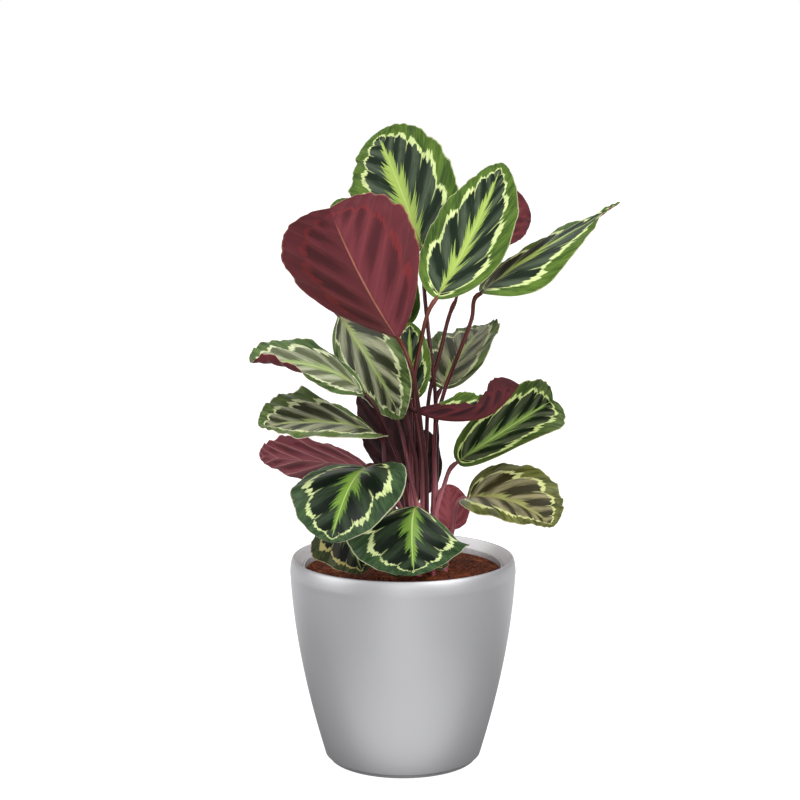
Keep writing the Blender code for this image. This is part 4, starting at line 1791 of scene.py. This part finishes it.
@dataclass(frozen=True)
class Liner:
    """The growing pot that hangs in the planter by its flange."""

    top: float = 0.2446
    flange_bottom: float = 0.2348
    flange_outer: float = 0.1241
    flange: float = 0.0027
    collar_radius: float = 0.1192
    collar_bottom: float = 0.2285
    funnel_radius: float = 0.1158
    funnel_height: float = 0.2325
    wall: float = 0.003
    wall_top: float = 0.200
    floor: float = 0.0315
    floor_radius: float = 0.085
    drain_circle: float = 0.050
    drain_radius: float = 0.006
    drains: int = 5
    sides: int = 144

    def inner_radius(self, height: float) -> float:
        """The inner radius at a height below the funnel.

        Args:
            height: The height.

        Returns:
            The radius.
        """
        low = self.floor_radius - self.wall
        share = (height - self.floor) / (self.funnel_height - self.floor)
        return low + (self.funnel_radius - low) * share

    def outline(self) -> list[tuple[float, float]]:
        """The wall's section, from the inner floor up over the flange and down to the floor.

        Returns:
            Radius and height of each point.
        """
        inner = self.flange_outer - self.flange
        bottom = self.floor + self.wall
        inside = np.linspace(bottom, self.funnel_height, 12)
        outside = np.linspace(self.wall_top, self.floor + 0.004, 10)
        return [
            (0.0, bottom),
            *((self.inner_radius(z), float(z)) for z in inside),
            (inner, self.flange_bottom + self.flange),
            (inner, self.top - 0.0012),
            (inner + 0.0004, self.top - 0.0003),
            (inner + 0.0011, self.top),
            (self.flange_outer - 0.0010, self.top),
            (self.flange_outer - 0.0003, self.top - 0.0003),
            (self.flange_outer, self.top - 0.0010),
            (self.flange_outer, self.flange_bottom),
            (self.collar_radius, self.flange_bottom),
            (self.collar_radius, self.collar_bottom),
            *((self.inner_radius(z) + self.wall, float(z)) for z in outside),
            (self.floor_radius - 0.002, self.floor),
            (0.0, self.floor),
        ]

    def build(self, finish: LinerFinish) -> bpy.types.Object:
        """Turn the growing pot, drill its drain holes and dress it.

        Args:
            finish: Its plastic.

        Returns:
            The finished growing pot.
        """
        item = turn_outline("growing_pot", self.outline(), self.sides)
        drills = self.drills()
        drill = item.modifiers.new("drill", "BOOLEAN")
        drill.operation = "DIFFERENCE"
        drill.solver = "EXACT"
        drill.object = drills
        apply_modifiers(item)
        bpy.data.objects.remove(drills, do_unlink=True)
        item.data.materials.append(finish.material())
        shade_smooth(item, 35.0)
        finish_piece(item, "liner", "liner")
        return item

    def drills(self) -> bpy.types.Object:
        """Add one drill for each drain hole, joined, to cut the holes with.

        Returns:
            The drills, as one object.
        """
        made = []
        for turn in range(self.drains):
            angle = 2 * math.pi * turn / self.drains
            x, y = self.drain_circle * math.cos(angle), self.drain_circle * math.sin(angle)
            deselect_all()
            place = (x, y, self.floor + 0.002)
            bpy.ops.mesh.primitive_cylinder_add(
                vertices=24, radius=self.drain_radius, depth=0.012, location=place
            )
            made.append(bpy.context.object)
        return join(made, "drain_drills")


def join(items: Sequence[bpy.types.Object], name: str) -> bpy.types.Object:
    """Join pieces in one, with its place in its mesh.

    Args:
        items: The pieces.
        name: The joined piece's name.

    Returns:
        The joined piece.
    """
    deselect_all()
    for item in items:
        item.select_set(True)
    bpy.context.view_layer.objects.active = items[0]
    bpy.ops.object.join()
    bpy.ops.object.transform_apply(location=True, rotation=True, scale=True)
    return named(name)


@dataclass(frozen=True)
class Soil:
    """The potting mix: an uneven body that fills the growing pot, with loose crumbs and fibres.

    levels are radii with the surface's mean height there. A row of lumps is how many fit in a
    metre, where their noise is read and how high they are.
    """

    radius: float = 0.1211
    levels: tuple = ((0.050, 0.2422), (0.085, 0.2405), (0.110, 0.2385), (0.1211, 0.2376))
    lumps: tuple = ((55, 0.0, 0.0014), (190, 5.0, 0.0009), (420, 9.0, 0.0005))
    rough_above: float = 0.236
    rough_margin: float = 0.006
    wall_heights: tuple = (0.2325, 0.190, 0.130, 0.080, 0.0348)
    wall_gap: float = 0.0003
    liner: Liner = Liner()
    rings: int = 56
    sides: int = 180
    crumbs: int = 1500
    crumb_sizes: tuple = (0.0009, 0.0021)
    crumb_tilt: float = 3.0
    big_crumbs: float = 0.06
    big_crumb_size: float = 1.6
    fibres: int = 420
    fibre_sizes: tuple = (0.0035, 0.0095)
    fibre_tilt: float = 0.35
    seed: int = 7

    def level(self, radius: float) -> float:
        """The surface's mean height at a radius."""
        radii, heights = zip((0.0, SOIL_TOP), *self.levels)
        return float(np.interp(radius, radii, heights))

    def build(self, finish: SoilFinish) -> list[bpy.types.Object]:
        """Model the ground and what lies loose on it, and dress both.

        Args:
            finish: The mix's colours.

        Returns:
            The finished pieces.
        """
        ground = self.ground()
        ground.data.materials.append(finish.ground())
        finish_piece(ground, "soil", "soil")
        loose = self.loose()
        loose.data.materials.append(finish.chips())
        finish_piece(loose, "soil")
        return [ground, loose]

    def ground(self) -> bpy.types.Object:
        """The body, with hollows and lumps raised on its top.

        Returns:
            The body.
        """
        outline = [(r, self.level(r)) for r in np.linspace(0.0, self.radius, self.rings)]
        for height in self.wall_heights:
            outline.append((self.liner.inner_radius(height) - self.wall_gap, height))
        outline.append((0.0, self.wall_heights[-1]))
        item = turn_outline("soil_ground_body", outline, self.sides)
        places = coordinates(item)
        for place in places:
            x, y, height = place
            if height > self.rough_above:
                left = (self.radius - math.hypot(x, y)) / self.rough_margin
                place[2] += self.roughness(x, y) * min(1.0, max(0.0, left))
        set_coordinates(item, places)
        shade_smooth(item, 70.0)
        return item

    def roughness(self, x: float, y: float) -> float:
        """How far the ground stands above its mean height at a place.

        Args:
            x: The place to the right.
            y: The place to the back.

        Returns:
            The height, which may be below 0.
        """
        return sum(
            noise.noise(Vector((x * scale, y * scale, layer))) * height
            for scale, layer, height in self.lumps
        )

    def loose(self) -> bpy.types.Object:
        """Crumbs and fibres strewn over the ground.

        Returns:
            One piece of them all.
        """
        rng = random.Random(self.seed)
        crumb, fibre = self.crumb(), self.fibre()
        made = []
        for number in range(self.crumbs + self.fibres):
            radius = (self.radius - 0.002) * math.sqrt(rng.random())
            angle = rng.uniform(0, 2 * math.pi)
            x, y = radius * math.cos(angle), radius * math.sin(angle)
            spot = Vector((x, y, self.level(radius) + self.roughness(x, y) + 0.0003))
            if number < self.crumbs:
                size = rng.uniform(*self.crumb_sizes)
                if rng.random() < self.big_crumbs:
                    size *= self.big_crumb_size
                made.append(self.strew(crumb, spot, size, self.crumb_tilt, rng))
            else:
                size = rng.uniform(*self.fibre_sizes)
                made.append(self.strew(fibre, spot, size, self.fibre_tilt, rng))
        for pattern in (crumb, fibre):
            bpy.data.objects.remove(pattern, do_unlink=True)
        item = join(made, "soil_loose_mix")
        shade_smooth(item, 30.0)
        return item

    def strew(
        self, pattern: bpy.types.Object, spot: Vector, size: float, tilt: float, rng: random.Random
    ) -> bpy.types.Object:
        """Lay a copy of a crumb or a fibre somewhere, turned and sized by chance.

        Args:
            pattern: The crumb or the fibre.
            spot: Where it lies.
            size: Its length.
            tilt: How far it may tilt.
            rng: The source of chance.

        Returns:
            The copy, with its own mesh.
        """
        copy = pattern.copy()
        copy.data = pattern.data.copy()
        bpy.context.collection.objects.link(copy)
        turn = Matrix.Rotation(rng.uniform(0, 6.28), 4, "Z")
        turn = turn @ Matrix.Rotation(rng.uniform(-tilt, tilt), 4, "Y")
        squeeze = Matrix.Diagonal((1.0, rng.uniform(0.6, 1.0), rng.uniform(0.45, 0.9), 1.0))
        copy.data.transform(Matrix.Translation(spot) @ turn @ squeeze @ Matrix.Scale(size, 4))
        mark(copy, "chip_tone", rng.random())
        return copy

    def crumb(self) -> bpy.types.Object:
        """A knobbly crumb, one long.

        Returns:
            The crumb.
        """
        deselect_all()
        bpy.ops.mesh.primitive_ico_sphere_add(subdivisions=1, radius=0.5)
        item = bpy.context.object
        places = coordinates(item)
        for place in places:
            place *= 1.0 + 0.35 * noise.noise(Vector(place) * 3.1)
        set_coordinates(item, places)
        return item

    def fibre(self) -> bpy.types.Object:
        """A thin bent fibre, one long.

        Returns:
            The fibre.
        """
        deselect_all()
        bpy.ops.mesh.primitive_cylinder_add(
            vertices=4, radius=0.028, depth=1.0, rotation=(0, math.pi / 2, 0)
        )
        bpy.ops.object.transform_apply(location=True, rotation=True, scale=True)
        bpy.ops.object.mode_set(mode="EDIT")
        for cut in (0.2, -0.2):
            bpy.ops.mesh.select_all(action="SELECT")
            bpy.ops.mesh.bisect(plane_co=(cut, 0, 0), plane_no=(1, 0, 0))
        bpy.ops.object.mode_set(mode="OBJECT")
        item = bpy.context.object
        places = coordinates(item)
        places[:, 2] += 0.10 - 0.5 * places[:, 0] ** 2
        places[:, 1] += 0.25 * places[:, 0] ** 3
        set_coordinates(item, places)
        return item


@dataclass(frozen=True)
class SoftBox:
    """A square soft light that looks at the plant."""

    name: str
    place: tuple
    target: tuple
    size: float
    power: float

    def build(self) -> None:
        """Hang the light."""
        light = bpy.data.lights.new(self.name, "AREA")
        light.size = self.size
        light.energy = self.power
        item = bpy.data.objects.new(self.name, light)
        bpy.context.scene.collection.objects.link(item)
        item.location = self.place
        look = Vector(self.target) - Vector(self.place)
        item.rotation_euler = look.to_track_quat("-Z", "Y").to_euler()


@dataclass(frozen=True)
class Studio:
    """A plain pale floor, soft light from the front and above, and the camera."""

    camera_place: tuple = (-0.0036, -2.285, 0.783)
    camera_pitch: float = 81.72
    lens: float = 84.735
    floor_size: float = 40.0
    paper: tuple = (srgb(112, 112, 112), srgb(116, 116, 116))
    boxes: tuple = (
        SoftBox("key", (-2.9, -0.75, 1.2), (0.0, 0.0, 0.30), 2.0, 62.0),
        SoftBox("front", (-0.1, -2.9, 0.95), (0.0, 0.0, 0.30), 1.2, 21.0),
        SoftBox("above", (1.2, -1.1, 1.8), (0.0, 0.0, 0.40), 1.0, 22.0),
        SoftBox("top_right", (1.95, -2.05, 1.55), (0.0, 0.0, 0.25), 1.7, 47.0),
    )

    def build(self) -> None:
        """Set up the floor, the surroundings, the lights and the camera."""
        self.floor()
        self.surroundings()
        for box in self.boxes:
            box.build()
        self.camera()

    def floor(self) -> None:
        """Lay the pale floor under the pot, a little brighter to the lens than the light on it."""
        deselect_all()
        bpy.ops.mesh.primitive_plane_add(size=self.floor_size, location=(0, 0, 0))
        item = bpy.context.object
        item.name = "studio_floor"
        s = Surface("studio_paper", 0.9)
        s.colour(s.mix(s.noise(s.place(), 30.0), *self.paper))
        s.shader.inputs["Emission Color"].default_value = WHITE
        seen = s.value(s.node("ShaderNodeLightPath"), "Is Camera Ray")
        x, y, _ = s.split(s.place())
        behind = s.rise(y, 0.12, 0.60)
        front = s.rise(s.math("ABSOLUTE", x), 0.50, 0.0) * s.rise(y, -0.08, -0.15)
        glow = s.math("MAXIMUM", behind, front * 1.05)
        s.feed(s.shader.inputs["Emission Strength"], s.math("MAXIMUM", seen * 0.95, glow))
        item.data.materials.append(s.material)
        item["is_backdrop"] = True

    def surroundings(self) -> None:
        """Light the scene dimly from the sides and more from above and behind."""
        world = bpy.data.worlds.new("studio")
        world.use_nodes = True
        bpy.context.scene.world = world
        g = Graph(world.node_tree)
        _, back, up = g.split(g.value(g.node("ShaderNodeTexCoord"), "Generated"))
        strength = g.rise(back, 0.55, 0.95) * 0.85 + 0.04
        strength = g.rise(up, 0.15, 0.95) * 0.95 + strength
        strength = g.rise(up, 0.80, 1.0) * 1.2 + strength
        ambient, shown = g.tree.nodes["Background"], g.node("ShaderNodeBackground")
        for light in (ambient, shown):
            light.inputs["Color"].default_value = WHITE
        g.feed(ambient.inputs["Strength"], strength)
        mix = g.node("ShaderNodeMixShader")
        seen = g.value(g.node("ShaderNodeLightPath"), "Is Camera Ray")
        for socket, value in zip(mix.inputs, (seen, g.value(ambient), g.value(shown))):
            g.feed(socket, value)
        g.feed(g.tree.nodes["World Output"].inputs[0], g.value(mix))

    def camera(self) -> None:
        """Stand the camera where the photograph was taken."""
        data = bpy.data.cameras.new("camera")
        data.lens = self.lens
        data.sensor_width = 36.0
        item = bpy.data.objects.new("camera", data)
        bpy.context.scene.collection.objects.link(item)
        item.location = self.camera_place
        item.rotation_euler = (math.radians(self.camera_pitch), 0.0, 0.0)
        bpy.context.scene.camera = item
        bpy.context.scene.view_settings.view_transform = "Standard"


def keep_sizes(name: str, sizes: dict) -> None:
    """Keep the boxes of the solids and of the dressed model as plain lists.

    Args:
        name: The box that is new.
        sizes: The boxes kept so far, which the new one joins.
    """
    low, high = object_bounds()
    sizes[name] = [[float(v) for v in low], [float(v) for v in high]]


def main() -> None:
    """Build the plant's pieces in order, then the studio."""
    logging.basicConfig(level=logging.INFO, stream=sys.stdout, format="%(name)s: %(message)s")
    sizes: dict = {}
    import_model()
    keep_sizes("cad", sizes)
    Studio().build()
    Planter().build(LacquerFinish(), RIM_INSIDE_PAINTED_LIGHT)
    Liner().build(LinerFinish())
    Soil().build(SoilFinish())
    pattern = MedallionPattern().group()
    finishes = {tone: BladeFinish(tone, pattern) for tone in BladeTone}
    for number, leaf in enumerate(LEAVES):
        seed = 1.0 + 2.37 * number
        Stalk(leaf, seed).build(StalkFinish())
        Blade(leaf, seed).build(finishes[leaf.tone])
    Shoot().build(ShootFinish())
    keep_sizes("visual", sizes)


if __name__ == "__main__":
    main()
